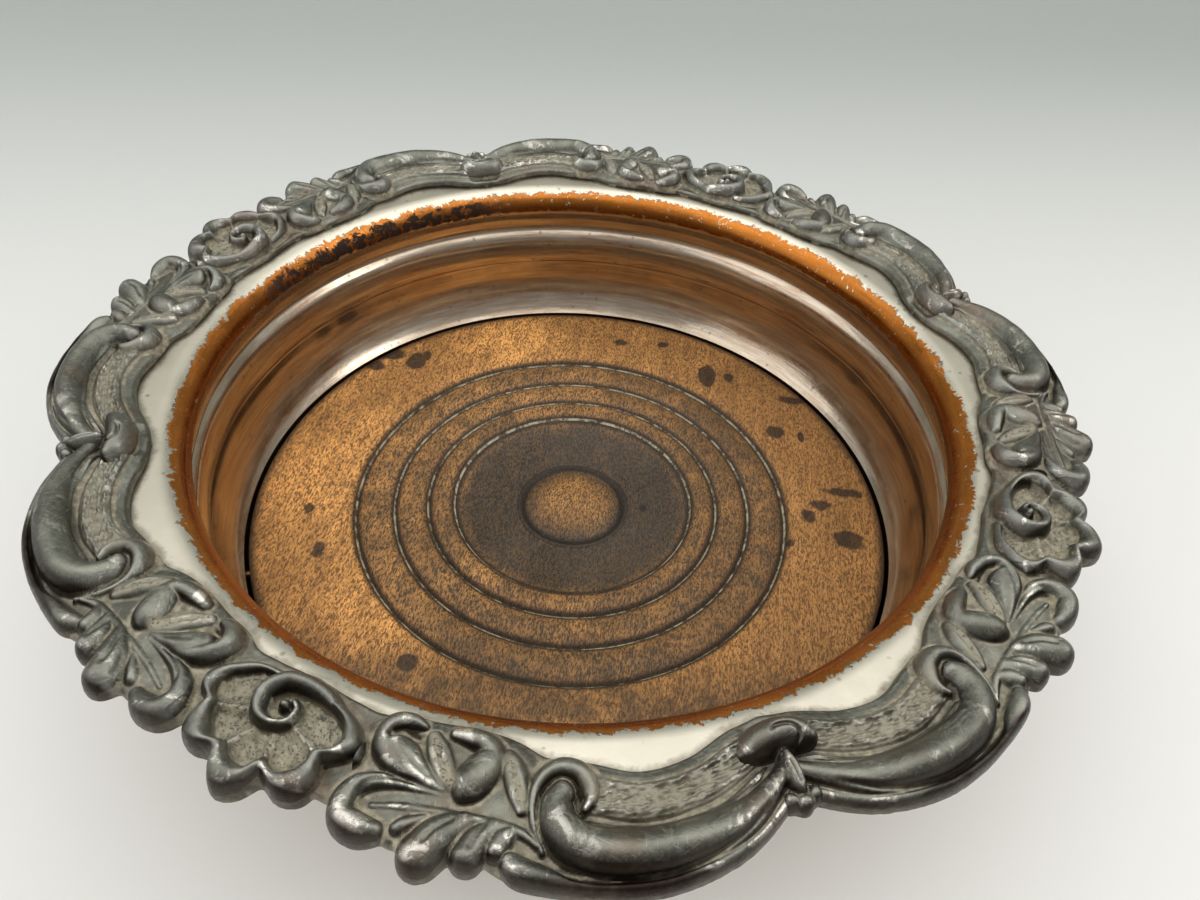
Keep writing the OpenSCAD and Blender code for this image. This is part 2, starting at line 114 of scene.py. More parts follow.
LEAF_LOBES = (
    # Band of the outer leaf, from which its lobes fan outwards
    ((0.47, 0.7, 0.03, 0.46), (0.5, 0.635, 0.055, 0.5), (0.55, 0.605, 0.065, 0.52),
     (0.62, 0.59, 0.065, 0.52), (0.7, 0.6, 0.055, 0.5), (0.76, 0.64, 0.04, 0.44)),
    # Outer lobes, from the scroll's back towards the shell
    ((0.515, 0.63, 0.06, 0.52), (0.53, 0.68, 0.085, 0.62), (0.537, 0.735, 0.078, 0.62)),
    ((0.55, 0.62, 0.08, 0.56), (0.573, 0.71, 0.105, 0.68), (0.584, 0.79, 0.1, 0.7)),
    ((0.6, 0.61, 0.09, 0.58), (0.635, 0.71, 0.135, 0.74), (0.655, 0.805, 0.135, 0.78),
     (0.658, 0.835, 0.125, 0.77)),
    ((0.665, 0.63, 0.055, 0.5), (0.695, 0.69, 0.065, 0.56), (0.705, 0.72, 0.058, 0.54)),
    # Outer hooked leaf
    ((0.62, 0.51, 0.03, 0.46), (0.69, 0.49, 0.05, 0.56), (0.75, 0.495, 0.068, 0.68),
     (0.792, 0.55, 0.085, 0.74), (0.807, 0.65, 0.095, 0.77), (0.798, 0.74, 0.1, 0.76),
     (0.768, 0.77, 0.098, 0.7), (0.74, 0.755, 0.07, 0.56)),
    # Inner hooked leaf: its blade, then its hook
    ((0.65, 0.47, 0.05, 0.54), (0.695, 0.415, 0.1, 0.7), (0.735, 0.35, 0.14, 0.82),
     (0.765, 0.29, 0.135, 0.85)),
    ((0.7, 0.44, 0.06, 0.62), (0.748, 0.395, 0.09, 0.78), (0.778, 0.32, 0.105, 0.86),
     (0.79, 0.22, 0.1, 0.86), (0.778, 0.145, 0.09, 0.8), (0.75, 0.11, 0.072, 0.66),
     (0.727, 0.115, 0.045, 0.52)),
    # Pored leaflet between the inner leaves
    ((0.634, 0.455, 0.06, 0.56), (0.655, 0.37, 0.105, 0.68), (0.679, 0.265, 0.112, 0.71),
     (0.698, 0.175, 0.075, 0.6)),
    # Full worn lobe, and the lobe it turns into along the inner edge
    ((0.61, 0.46, 0.1, 0.76), (0.602, 0.4, 0.145, 0.88), (0.586, 0.31, 0.142, 0.86),
     (0.574, 0.23, 0.115, 0.78), (0.588, 0.165, 0.098, 0.78), (0.622, 0.13, 0.09, 0.73),
     (0.657, 0.12, 0.068, 0.6)),
    # Leaflet beside the scroll's curl
    ((0.504, 0.51, 0.065, 0.56), (0.515, 0.4, 0.105, 0.68), (0.529, 0.29, 0.105, 0.68),
     (0.543, 0.205, 0.07, 0.56)),
)
# Low mound that fills the crevices between the leaves
MOUND = (
    (0.45, 0.66, 0.1, 0.34), (0.52, 0.5, 0.32, 0.42), (0.6, 0.42, 0.42, 0.48), (0.7, 0.43, 0.42, 0.48),
    (0.78, 0.43, 0.36, 0.4),
)
# Veins and fine lines cut into the relief: rows of [along, across], with a depth and a width
CUTS = (
    (((0.06, 0.43), (0.14, 0.535), (0.24, 0.575), (0.33, 0.58), (0.39, 0.54)), 0.06, 0.014),
    (((0.06, 0.6), (0.14, 0.755), (0.24, 0.855), (0.34, 0.882), (0.41, 0.86), (0.45, 0.79)), 0.12, 0.014),
    # Veins of the outer lobes
    (((0.56, 0.61), (0.572, 0.7), (0.578, 0.78)), 0.05, 0.016),
    (((0.61, 0.61), (0.64, 0.71), (0.654, 0.8)), 0.06, 0.018),
    (((0.655, 0.66), (0.675, 0.74), (0.683, 0.8)), 0.05, 0.014),
    # Veins of the hooked leaves and the leaflets
    (((0.68, 0.47), (0.73, 0.475), (0.775, 0.53), (0.787, 0.62), (0.78, 0.7)), 0.05, 0.018),
    (((0.72, 0.2), (0.745, 0.2), (0.768, 0.225), (0.778, 0.25)), 0.2, 0.026),
    (((0.67, 0.44), (0.71, 0.38), (0.74, 0.32)), 0.04, 0.02),
    (((0.645, 0.42), (0.668, 0.32), (0.692, 0.2)), 0.07, 0.018),
    (((0.508, 0.46), (0.52, 0.35), (0.534, 0.24)), 0.06, 0.016),
)
# Where the casting is pitted: rows of [along, across, half width, share]
PITTED = (
    ((0.635, 0.43, 0.05, 1), (0.66, 0.34, 0.07, 1), (0.698, 0.18, 0.05, 1)),
    ((0.505, 0.48, 0.05, 0.8), (0.54, 0.24, 0.06, 0.8)),
    ((0.07, 0.3, 0.06, 0.4), (0.14, 0.41, 0.13, 0.6), (0.24, 0.46, 0.14, 0.66), (0.33, 0.42, 0.14, 0.66),
     (0.38, 0.36, 0.09, 0.6)),
)

# Place that the shell's channels run to: [along, across]
SHELL_HINGE = (1.0, 0.36)
# Crest of the shell's rim about its hinge: [angle in degrees, reach as a share of the border's width]
SHELL_RIM = (
    (-180, 0.19), (-129, 0.31), (-113, 0.41), (-101, 0.47), (-92, 0.52), (-84, 0.54), (-77, 0.515),
    (-69, 0.455), (-62, 0.47), (-50, 0.485), (-38, 0.46), (-28, 0.385), (-18, 0.415), (-6, 0.445),
    (7, 0.415), (19, 0.34), (30, 0.41), (44, 0.44), (57, 0.42), (69, 0.385), (79, 0.46), (89, 0.485),
    (99, 0.455), (115, 0.36), (132, 0.27), (180, 0.19),
)
# Notches of the rim, from which a rib runs to the hinge
SHELL_RIBS = (-69, -28, 19, 69)
RIB_WIDTH = 0.034
RIB_RISE = 0.56
# A rib grows over this share of the reach, and fades where it fans this far from its notch, in degrees
RIB_START = 0.3
RIB_FAN, RIB_FADE = 60, 20
# Half width of the rim about the hinge: [angle in degrees, half width]
RIM_WIDTH = (
    (-180, 0.045), (-120, 0.05), (-92, 0.068), (-80, 0.068), (-69, 0.05), (-50, 0.088), (-28, 0.058),
    (-6, 0.092), (19, 0.06), (44, 0.088), (69, 0.055), (89, 0.075), (115, 0.055), (180, 0.045),
)
# The rim's outer flank is wider than its inner one by this factor
RIM_FLANK = 1.35
# Rise of the rim: [angle in degrees, rise]
RIM_RISE = (
    (-180, 0.5), (-130, 0.54), (-100, 0.7), (-80, 0.78), (-50, 0.8), (0, 0.8), (50, 0.8), (90, 0.82),
    (120, 0.7), (180, 0.5),
)
# From the hinge outwards: [share of the reach, rise of a channel]
SHELL_LINE = ((0, 0.5), (0.25, 0.44), (0.5, 0.38), (0.75, 0.35), (1, 0.38))
# Soft lumps of the castings, and of the shell's channels alone: [rise, pitch, seed]
CASTING_LUMPS = ((0.012, 0.5, 3), (0.008, 0.22, 8))
CHANNEL_LUMPS = ((0.022, 0.075, 8), (0.016, 0.036, 9))
# Snail volute about its own centre: [turn, reach, half width, rise]
VOLUTE = (
    (0.275, 0.385, 0.03, 0.5), (0.317, 0.325, 0.055, 0.62), (0.39, 0.235, 0.078, 0.78),
    (0.5, 0.175, 0.085, 0.92), (0.61, 0.175, 0.09, 0.98), (0.74, 0.178, 0.085, 1.0),
    (0.87, 0.155, 0.07, 0.96), (1.0, 0.13, 0.055, 0.9), (1.13, 0.115, 0.048, 0.86),
    (1.26, 0.09, 0.045, 0.84), (1.36, 0.06, 0.045, 0.84),
)
# Half width and rise of the volute's eye
VOLUTE_EYE = (0.058, 0.88)
# Places across of the volute's centre and of the knot's
VOLUTE_UP = 0.335
KNOT_MIDDLE = 0.3
KNOT_RIBBONS = (
    # Full kidney
    ((-0.066, 0.285, 0.085, 0.7), (-0.045, 0.25, 0.115, 0.8), (-0.012, 0.232, 0.122, 0.84),
     (0.022, 0.236, 0.122, 0.84), (0.05, 0.262, 0.112, 0.8), (0.064, 0.3, 0.085, 0.7)),
    # Short leaf and its three beads
    ((0.0, 0.37, 0.05, 0.66), (0.0, 0.45, 0.066, 0.74), (0.0, 0.54, 0.06, 0.68), (0.0, 0.59, 0.045, 0.52)),
    ((-0.024, 0.615, 0.058, 0.46), (-0.022, 0.62, 0.058, 0.46)),
    ((-0.001, 0.645, 0.06, 0.48), (0.001, 0.65, 0.06, 0.48)),
    ((0.022, 0.62, 0.058, 0.46), (0.024, 0.615, 0.058, 0.46)),
)
KNOT_CUTS = (
    (((0.008, 0.37), (0.03, 0.34), (0.042, 0.29), (0.03, 0.23), (0.0, 0.215), (-0.018, 0.24)), 0.1, 0.014),
    (((0.0, 0.4), (0.0, 0.5), (0.0, 0.58)), 0.08, 0.014),
)

# Turn of the wood's grain away from the Y axis
GRAIN_WAY = (0, 0, 0.1)
# Old drops on the wood: [x, y, radius, stretch across], in millimetres
DROPS = (
    (-24.5, -41.2, 1.8, 1.15), (-47.2, 40.2, 2.0, 0.52), (-48.9, 35.2, 1.5, 0.75), (-40.2, 38.3, 3.0, 1.38),
    (-38.3, 40.6, 1.8, 1.63), (28.3, 41.8, 3.9, 1.9), (33.5, 41.7, 1.5, 1.55), (43.1, 24.0, 2.0, 1.09),
    (48.8, 23.1, 1.5, 2.03), (50.5, 2.8, 1.3, 0.72), (47.8, -0.4, 1.6, 1.19), (54.9, -6.0, 2.1, 0.7),
    (56.0, 6.9, 1.2, 0.31), (43.3, -7.9, 0.8, 1.28), (-50.9, -9.6, 0.9, 1.15), (-46.1, -18.7, 1.4, 1.32),
    (-45.9, -20.2, 0.8, 0.94), (7.4, 51.9, 1.1, 0.65), (17.7, 52.5, 1.1, 0.72), (14.3, 0.7, 0.9, 1.34),
    (48.0, 35.4, 1.0, 0.34),
)

# Line of the wall above the wooden floor: [share of the swell, share of the wall's height]
BELLY = ((0, 0), (0.28, 0.037), (0.56, 0.094), (0.83, 0.172), (1, 0.281), (0.88, 0.394))
NECK = ((0.72, 0.402), (0.7, 0.425), (0.6, 0.436), (0.52, 0.5), (0.56, 0.578), (0.7, 0.634), (0.95, 0.672))
SHOULDER = ((1.02, 0.703), (0.9, 0.766), (0.65, 0.815))
# An old sheet's waves round the wall: [rise in metres, waves round it, turn with the height, start]
WAVES = ((0.00008, 3, 0, 0.7), (0.00005, 7, 190, 0), (0.00003, 17, 500, 0))

# Radius that stands for a turned piece's middle, before the last hole is closed
TINY = 0.00004
# Points round a turned piece, and round the wall with its scalloped edge
STEPS, WALL_STEPS = 256, 288

# Lamps: [name, place, size, share of the key's power, tint]
LAMPS = (
    ("lamp_overhead", (0.05, 0.15, 0.95), 1.8, 1.35, (1.0, 0.99, 0.97)),
    ("lamp_side", (0.7, 0.0, 0.55), 0.3, 0.14, (1.0, 0.98, 0.96)),
    ("lamp_left", (-0.7, -0.25, 0.5), 0.9, 0.32, (0.97, 0.99, 1.0)),
)
# Light of the room from low to high: all round, and then behind the camera
ROOM = ((0.34, 0.34, 0.33), (0.78, 0.79, 0.79))
ROOM_BEHIND = ((0.3, 0.29, 0.28), (0.7, 0.7, 0.7))

# Steps of the paper sweep, back and then up, and the radius of the bend between them
PAPER_STEPS = ((0, 0.15, 0), (0, 0.1, 1.2))
PAPER_BEND = 0.35

# Bands of the finishes and of the painted shade, shadow and reflection, in millimetres
# Each runs from where its effect starts to where it is full. A name that ends in FOOT or TOP is a height,
# and one that ends in EDGE a radius.
COPPER_FOOT, CRUST_FOOT, SPECK_FOOT = (37.8, 38.3), (37.0, 38.2), (34.0, 36.0)
CRUST_EDGE, SPECK_EDGE = (66.0, 65.5), (67.3, 66.8)
# BROWN_TOP is where the painted reflection of the wood ends at the top
NECK_FOOT, NECK_TOP, BROWN_TOP = (22.4, 24.0), (33.0, 30.5), (40.0, 38.4)
FLAT_FOOT, FLAT_EDGE = (41.0, 42.0), (66.5, 68.5)
LIP_SHADE_TOP = (41.6, 38.6)
GRIME_SHADOW_FOOT = (41.4, 42.2)
# Distance from the border's ground for its grime and painted shadow, and from the copper's edge for its dark
# outline
GRIME_SHADOW_GAP, OUTLINE_GAP = (1.3, 0.1), (0.16, 0.05)
# Mean radius at which the flange's silver gives way to the lip's copper
WORN_RADIUS = 67.1
# Angles round the lip, in radians, between which it is crusted
CRUST_TURNS = ((1.8, 2.05), (3.0, 2.75))
# Places from left to right or from front to back
FRONT_WEAR, BACK_WEAR = (-55.0, -80.0), (50.0, 75.0)
WOOD_SHADE_RIGHT, WOOD_SHADE_FRONT = (-25.0, 35.0), (-34.0, -46.0)
PAPER_SHADE = (-60.0, 340.0)
# Distance from a groove for the painted shade of the beads' flanks, the groove's dark line and its wax
BEAD_SHADE_GAP, GROOVE_GAP, WAX_GAP = (2.7, 0.7), (1.25, 0.35), (0.24, 0.08)
# Radii over which the boss gives way to the hollow, for the patina with its painted shade, and for the stain
PATINA_EDGE, STAIN_EDGE = (6.0, 11.0), (4.0, 11.5)

# Tints of the border
TANNED = (0.2, 0.13, 0.09)
# Painted shade on the flanks that look outwards
BROWN_FLANK_SHADE = (0.026, 0.018, 0.013)
RUBBED_GREY = (0.42, 0.415, 0.38)
WORN_BRIGHT = (0.78, 0.74, 0.66)
SCRATCH_GREY = (0.55, 0.54, 0.5)
OLIVE = (0.4, 0.36, 0.26)
PIT_DARK = (0.06, 0.054, 0.042)
# Tints of the wall and the foot wire
# Painted reflection of the wood in the lower wall
WOOD_REFLECTION_BROWN = (0.44, 0.33, 0.235)
NECK_COPPER = (0.46, 0.2, 0.13)
SPOT_BROWN = (0.2, 0.16, 0.12)
SCRATCHED_COPPER = (0.85, 0.45, 0.2)
WORN_OUTLINE = (0.05, 0.03, 0.02)
# Grime with painted shadow beside the border's ground
GRIME_AND_SHADOW = (0.25, 0.22, 0.16)
LIP_CRUST = (0.03, 0.015, 0.009)
DULL_SILVER = (0.42, 0.37, 0.3)
DARK_SPOT = (0.12, 0.1, 0.08)
# Tints of the wood
STAINED_GRAIN = (0.1, 0.07, 0.04)
GROOVE_DARK = (0.03, 0.023, 0.017)
OLD_WAX = (0.7, 0.62, 0.43)
DROP_DARK = (0.02, 0.014, 0.012)
SMUDGE_BROWN = (0.06, 0.04, 0.025)
SHADED_WOOD = (0.06, 0.045, 0.028)
# Painted shade at the wood's outer edge, by the wall's foot
EDGE_SHADE = (0.02, 0.013, 0.008)
# Tints of the cloth, the pins and the paper
WORN_CLOTH = (0.1, 0.15, 0.08)
BROWN_BRASS = (0.2, 0.13, 0.07)
MOTTLE_GREY = (0.5, 0.5, 0.5)


# Sizes and colours


def length(name, description, default):
    return FloatProperty(name=name, description=description, default=default, unit="LENGTH", precision=5)


def colour(name, description, default):
    return FloatVectorProperty(
        name=name, description=description, default=default, subtype="COLOR", size=3, min=0, max=1
    )


class CoasterCup(bpy.types.PropertyGroup):
    well: length("Well radius", "Inside radius of the cup beside the wooden floor", 0.063)
    floor: length("Floor height", "Height of the wooden floor above the table", 0.0105)
    flange: length("Flange height", "Height of the flange above the table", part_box("gallery_wall")[1].z)
    swell: length("Swell", "How far the belly swells beyond the well's radius", 0.004)
    roll: length("Lip radius", "Radius of the rolled lip", 0.0045)
    mouth: length("Mouth set out", "How far the mouth stands outside the well's radius", 0.0018)
    sheet: length("Sheet", "Thickness of the plated sheet", 0.001)
    foot_lip: length("Foot lip", "Width of the foot where it is turned in under the wood", 0.0045)
    foot_bend: length("Foot bend", "Radius of the bend at the foot", 0.0012)
    wire_height: length("Wire height", "Height of the half-round foot wire", 0.003)
    wire_width: length("Wire width", "How far the foot wire stands out", 0.0015)


class CoasterBase(bpy.types.PropertyGroup):
    radius: length("Base radius", "Radius of the wooden base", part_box("wooden_base")[1].x)
    cloth: length("Cloth", "Thickness of the cloth under the wood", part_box("baize_pad")[1].z)
    cloth_radius: length("Cloth radius", "Radius of the cloth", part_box("baize_pad")[1].x)
    grooves: FloatVectorProperty(
        name="Grooves", description="Radii of the four turned grooves", size=4, unit="LENGTH",
        default=(0.0428, 0.0354, 0.0289, 0.0237),
    )
    groove_depth: length("Groove depth", "Depth of the grooves", 0.0013)
    hollow: length("Hollow depth", "Depth of the turned hollow", 0.0032)
    boss_radius: length("Boss radius", "Radius of the ring at the foot of the boss", 0.0103)
    boss_height: length("Boss height", "Height of the boss above the hollow", 0.0022)
    ring_width: length("Ring width", "Width of the little ring round the boss", 0.0011)
    ring_height: length("Ring height", "Height of that ring above the hollow", 0.00035)
    ring_sink: length("Ring sink", "Depth of the line between the boss and its ring", 0.0002)
    edge_round: length("Edge round", "Radius of the wood's upper edge", 0.0006)


class CoasterBorder(bpy.types.PropertyGroup):
    inner: length("Inner reach", "Radius of the border's inner reach", 0.0685)
    width: length("Width", "Width of the border", 0.019)
    ground: length("Ground", "Thickness of the border's ground", 0.0012)
    relief: length("Relief", "Height of the fullest relief above the flange", 0.005)
    flange_inset: length("Flange inset", "How far the flange's edge lies inside the ground's edge", 0.0008)
    edge_round: length("Edge round", "How far in the castings' edges are rounded", 0.0006)
    knot_edge: length("Knot edge", "Height of a knot's thin edge", 0.0003)
    first_knot: FloatProperty(
        name="First knot", description="Angle of the first knot from the X axis",
        default=math.radians(22.5), subtype="ANGLE",
    )


class CoasterFinish(bpy.types.PropertyGroup):
    silver: colour("Silver", "Clean plate on the flange and the wall", (0.74, 0.69, 0.57))
    tarnish: colour("Tarnish", "Dull grey of the cast border", (0.2, 0.2, 0.164))
    copper: colour("Copper", "Copper where the plate is worn through", (0.62, 0.21, 0.035))
    grime: colour("Grime", "Old polish dried in the hollows", (0.47, 0.42, 0.3))
    wood: colour("Wood", "Light tone of the turned wood", (0.64, 0.31, 0.09))
    wood_dark: colour("Dark wood", "Dark tone of the turned wood", (0.15, 0.07, 0.028))
    # Also the colour of the painted shade on the beads' flanks beside the grooves
    patina: colour("Patina", "Grey-brown patina of the turned part", (0.07, 0.05, 0.03))
    stain: colour("Stain", "Blue-grey stain in the hollow", (0.03, 0.027, 0.023))
    cloth: colour("Cloth", "Green of the cloth underneath", (0.03, 0.11, 0.06))
    brass: colour("Brass", "Brass of the pins", (0.6, 0.42, 0.2))


class CoasterStage(bpy.types.PropertyGroup):
    paper: colour("Paper", "Pale paper that the object stands on", (0.9, 0.89, 0.855))
    paper_far: colour("Far paper", "The paper where it falls into shade at the back", (0.43, 0.455, 0.435))
    eye: FloatVectorProperty(
        name="Eye", description="Place of the camera", size=3, unit="LENGTH",
        default=(0.00528, -0.1161, 0.13669),
    )
    aim: FloatVectorProperty(
        name="Aim", description="Point that the camera looks at", size=3, unit="LENGTH",
        default=(0.00459, 0.01353, 0.0105),
    )
    roll: FloatProperty(
        name="Roll", description="Turn of the camera about its view", default=0.0804, subtype="ANGLE"
    )
    lens: FloatProperty(name="Lens", description="Focal length in millimetres", default=25.36)
    key: FloatProperty(name="Key", description="Power of the large lamp overhead", default=6.0, unit="POWER")


# Modelling helpers


def deselect():
    if bpy.context.object and bpy.context.object.mode != "OBJECT":
        bpy.ops.object.mode_set(mode="OBJECT")
    bpy.ops.object.select_all(action="DESELECT")


def choose(obj):
    deselect()
    obj.select_set(True)
    bpy.context.view_layer.objects.active = obj


def named(name):
    obj = bpy.context.object
    obj.name = name
    obj.data.name = name
    return obj


def apply_modifiers(obj):
    choose(obj)
    for modifier in list(obj.modifiers):
        bpy.ops.object.modifier_apply(modifier=modifier.name)


def coordinates(obj):
    co = np.zeros(len(obj.data.vertices) * 3)
    obj.data.vertices.foreach_get("co", co)
    return co.reshape(-1, 3)


def set_coordinates(obj, co):
    obj.data.vertices.foreach_set("co", np.ascontiguousarray(co, dtype=np.float32).ravel())
    obj.data.update()


def quarter_turn(points):
    """Angles of a quarter of a circle, from 0."""
    return np.linspace(0, math.pi / 2, points)


def along(rows, t):
    """Smooth curve through all the rows of a table, t running from 0 to 1."""
    rows = np.asarray(rows, float)
    last = len(rows) - 1
    i = np.minimum((np.asarray(t) * last).astype(int), last - 1)
    f = (np.asarray(t) * last - i)[:, None]
    a, b, c, d = rows[np.maximum(i - 1, 0)], rows[i], rows[i + 1], rows[np.minimum(i + 2, last)]
    return (2 * b + (c - a) * f + (2 * a - 5 * b + 4 * c - d) * f**2 + (3 * b - a - 3 * c + d) * f**3) / 2


def smooth_line(rows, steps):
    return along(rows, np.linspace(0, 1, (len(rows) - 1) * steps + 1))


def eased(rows, x):
    """Value at x of a table of (x, value) rows, eased between the rows."""
    xs, ys = np.array(rows, float).T
    x = np.clip(x, xs[0], xs[-1])
    i = np.clip(np.searchsorted(xs, x, side="right") - 1, 0, len(xs) - 2)
    t = (x - xs[i]) / (xs[i + 1] - xs[i])
    return ys[i] + (ys[i + 1] - ys[i]) * t * t * (3 - 2 * t)


def curve(rows, x):
    """Value at x of a table of (x, value) rows, on a smooth line through the rows."""
    xs, ys = np.array(rows, float).T
    slopes = np.gradient(ys, xs)
    x = np.clip(x, xs[0], xs[-1])
    i = np.clip(np.searchsorted(xs, x, side="right") - 1, 0, len(xs) - 2)
    step = xs[i + 1] - xs[i]
    t = (x - xs[i]) / step
    bend = step * t * (1 - t) * (slopes[i] * (1 - t) - slopes[i + 1] * t)
    return ys[i] * (1 + 2 * t) * (1 - t) ** 2 + ys[i + 1] * t * t * (3 - 2 * t) + bend


def turned(name, line, steps=STEPS):
    """A ring at the first place of a turner's profile of [radius, height], extruded along the rest of it."""
    deselect()
    (r, z) = line[0]
    bpy.ops.mesh.primitive_circle_add(vertices=steps, radius=r, location=(0, 0, z))
    obj = named(name)
    bpy.ops.object.transform_apply(location=True, rotation=True, scale=True)
    bpy.ops.object.mode_set(mode="EDIT")
    bpy.ops.mesh.select_mode(type="EDGE")
    bpy.ops.mesh.select_all(action="SELECT")
    for r_next, z_next in line[1:]:
        bpy.ops.mesh.extrude_edges_move(TRANSFORM_OT_translate={"value": (0, 0, z_next - z)})
        bpy.ops.transform.resize(value=(r_next / r, r_next / r, 1), center_override=(0, 0, 0))
        r, z = r_next, z_next
    bpy.ops.object.mode_set(mode="OBJECT")
    return obj


def close_holes(obj, bridge=False):
    """Closes a piece's open ends with faces, or joins its two open rings, and points all faces outwards."""
    choose(obj)
    bpy.ops.object.mode_set(mode="EDIT")
    bpy.ops.mesh.select_mode(type="EDGE")
    bpy.ops.mesh.select_all(action="SELECT")
    bpy.ops.mesh.remove_doubles(threshold=1e-6)
    bpy.ops.mesh.select_all(action="DESELECT")
    bpy.ops.mesh.select_non_manifold()
    if bridge:
        bpy.ops.mesh.bridge_edge_loops()
    else:
        bpy.ops.mesh.fill_holes(sides=0)
    bpy.ops.mesh.select_all(action="SELECT")
    bpy.ops.mesh.normals_make_consistent(inside=False)
    bpy.ops.object.mode_set(mode="OBJECT")


def finish_piece(obj, material, nodes, angle=50):
    """Shades a finished piece, gives it its material and puts it in place of its CAD nodes."""
    choose(obj)
    bpy.ops.object.shade_smooth_by_angle(angle=math.radians(angle))
    obj.data.materials.clear()
    obj.data.materials.append(material)
    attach(obj, "root")
    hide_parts(*nodes)


# Height of the relief over the strip


def on_strip(rows):
    rows = np.array(rows, float)
    rows[:, 0] /= STRIP_SHARE
    return rows


def stretches(points, line, reach):
    """The points near a line, then for each stretch of it the share of the stretch and the distance."""
    low, high = line[:, :2].min(0) - reach, line[:, :2].max(0) + reach
    near = np.flatnonzero(((points > low) & (points < high)).all(1))
    close, found = points[near], []
    for i in range(len(line) - 1):
        start, run = line[i, :2], line[i + 1, :2] - line[i, :2]
        t = np.clip(((close - start) @ run) / max(run @ run, 1e-12), 0, 1)
        found.append((i, t, np.hypot(*(close - start - t[:, None] * run).T)))
    return near, found


def ribbon(points, rows, steps=10, fullness=0.5):
    """Rise over the strip's points of a half-round ribbon with round ends."""
    line = smooth_line(on_strip(rows), steps)
    rise = np.zeros(len(points))
    near, found = stretches(points, line, line[:, 2].max())
    for i, t, gap in found:
        half = line[i, 2] + (line[i + 1, 2] - line[i, 2]) * t
        top = line[i, 3] + (line[i + 1, 3] - line[i, 3]) * t
        rise[near] = np.maximum(rise[near], top * np.clip(1 - (gap / half) ** 2, 0, 1) ** fullness)
    return rise


def cut(points, rows, depth, width):
    """Depth over the strip's points of a fine line that fades at both ends."""
    line = smooth_line(on_strip(rows), 8)
    deepest = np.zeros(len(points))
    last = len(line) - 1
    near, found = stretches(points, line, 3 * width)
    for i, t, gap in found:
        fade = np.clip(np.minimum(i + t, last - i - t) / (0.2 * last), 0, 1)
        deepest[near] = np.maximum(deepest[near], depth * fade * np.exp(-((gap / width) ** 2)))
    return deepest


def join(low, high, blend=0.035):
    """The higher of two rises, with a small fillet where they meet."""
    k = np.clip(0.5 + 0.5 * (high - low) / blend, 0, 1)
    return low * (1 - k) + high * k + blend * k * (1 - k)


def laid(rise, more, blend=0.03):
    """Lays more relief over a rise."""
    return np.where(np.maximum(rise, more) > 0, join(rise, more, blend), 0)


def cut_into(rise, points, cuts):
    for rows, depth, width in cuts:
        rise = rise - cut(points, rows, depth, width) * np.clip(rise / 0.3, 0, 1)
    return np.maximum(rise, 0)


def unevenness(points, size, seed):
    """Soft random lumps over the strip, from -1 to 1."""
    total = np.zeros(len(points))
    dice = np.random.default_rng(seed)
    for _ in range(7):
        turn, phase = dice.uniform(0, 2 * math.pi, 2)
        pitch = size * dice.uniform(0.7, 1.5)
        across = points[:, 0] * math.cos(turn) + points[:, 1] * math.sin(turn)
        total += np.sin(across * 2 * math.pi / pitch + phase)
    return total / 4


def roughened(rise, points, lumps):
    for height, pitch, seed in lumps:
        rise = rise + height * unevenness(points, pitch, seed)
    return rise


def reeds_rise(points):
    a, w = points[:, 0] * STRIP_SHARE, points[:, 1]
    start, end = REED_SPAN
    low = curve(GROUND_IN, a)
    crest = curve([(r[0], r[1]) for r in MAIN_ROLL if r[0] < end], a)
    share = (w - low) / (crest - low)
    spread = (a - start) / (end - start)
    fade = np.clip(np.minimum(spread / REED_FADES[0], (1 - spread) / REED_FADES[1]), 0, 1)
    band = np.clip(np.minimum(share - BAND[0], BAND[1] - share) / BAND_FADE, 0, 1)
    streaks = sum(
        height * unevenness(points * (1, narrow), pitch, seed) for height, narrow, pitch, seed in BAND_STREAKS
    )
    rise = eased(REEDS, share) * fade**0.5 + band * streaks
    return np.where((share > -0.02) & (share < 1) & (spread > 0) & (spread < 1), rise, 0)


def shell_share(points):
    """Angle about the shell's hinge in degrees, distance from it, and reach of the rim's crest there."""
    x, y = points[:, 0] - SHELL_HINGE[0] / STRIP_SHARE, points[:, 1] - SHELL_HINGE[1]
    fan = np.degrees(np.arctan2(x, y))
    return fan, np.hypot(x, y), curve(SHELL_RIM, fan)


def volute_rise(points):
    turn = np.array([r[0] for r in VOLUTE]) * 2 * math.pi
    reach = np.array([r[1] for r in VOLUTE])
    rows = np.stack(
        [1 + reach * np.sin(turn) * STRIP_SHARE, VOLUTE_UP + reach * np.cos(turn),
         [r[2] for r in VOLUTE], [r[3] for r in VOLUTE]], 1
    )
    eye = ((0.999, VOLUTE_UP, *VOLUTE_EYE), (1.001, VOLUTE_UP, *VOLUTE_EYE))
    return laid(ribbon(points, rows, 14), ribbon(points, eye, 2), 0.02)


def shell_rise(points):
    fan, gap, reach = shell_share(points)
    rise = eased(SHELL_LINE, gap / reach)
    for notch in SHELL_RIBS:
        off = np.radians(fan - notch) * gap
        rib = np.exp(-((off / RIB_WIDTH) ** 2)) * np.clip(gap / reach / RIB_START, 0, 1)
        rib = rib * np.clip((RIB_FAN - np.abs(fan - notch)) / RIB_FADE, 0, 1)
        rise = rise + (RIB_RISE - rise) * rib
    rise = roughened(rise, points, CHANNEL_LUMPS)
    out = gap - reach
    half = curve(RIM_WIDTH, fan) * np.where(out > 0, RIM_FLANK, 1)
    rim = curve(RIM_RISE, fan) * np.clip(1 - (out / half) ** 2, 0, 1) ** 0.5
    rise = np.where(out < 0, join(rise, rim, 0.03), rim)
    return laid(rise, volute_rise(points), 0.02)


def folded(points):
    """Places past the shell's middle, taken back to the same place on the mirrored half."""
    a = points[:, 0] * STRIP_SHARE
    return np.stack([np.where(a > 1, 2 - a, a) / STRIP_SHARE, points[:, 1]], 1)


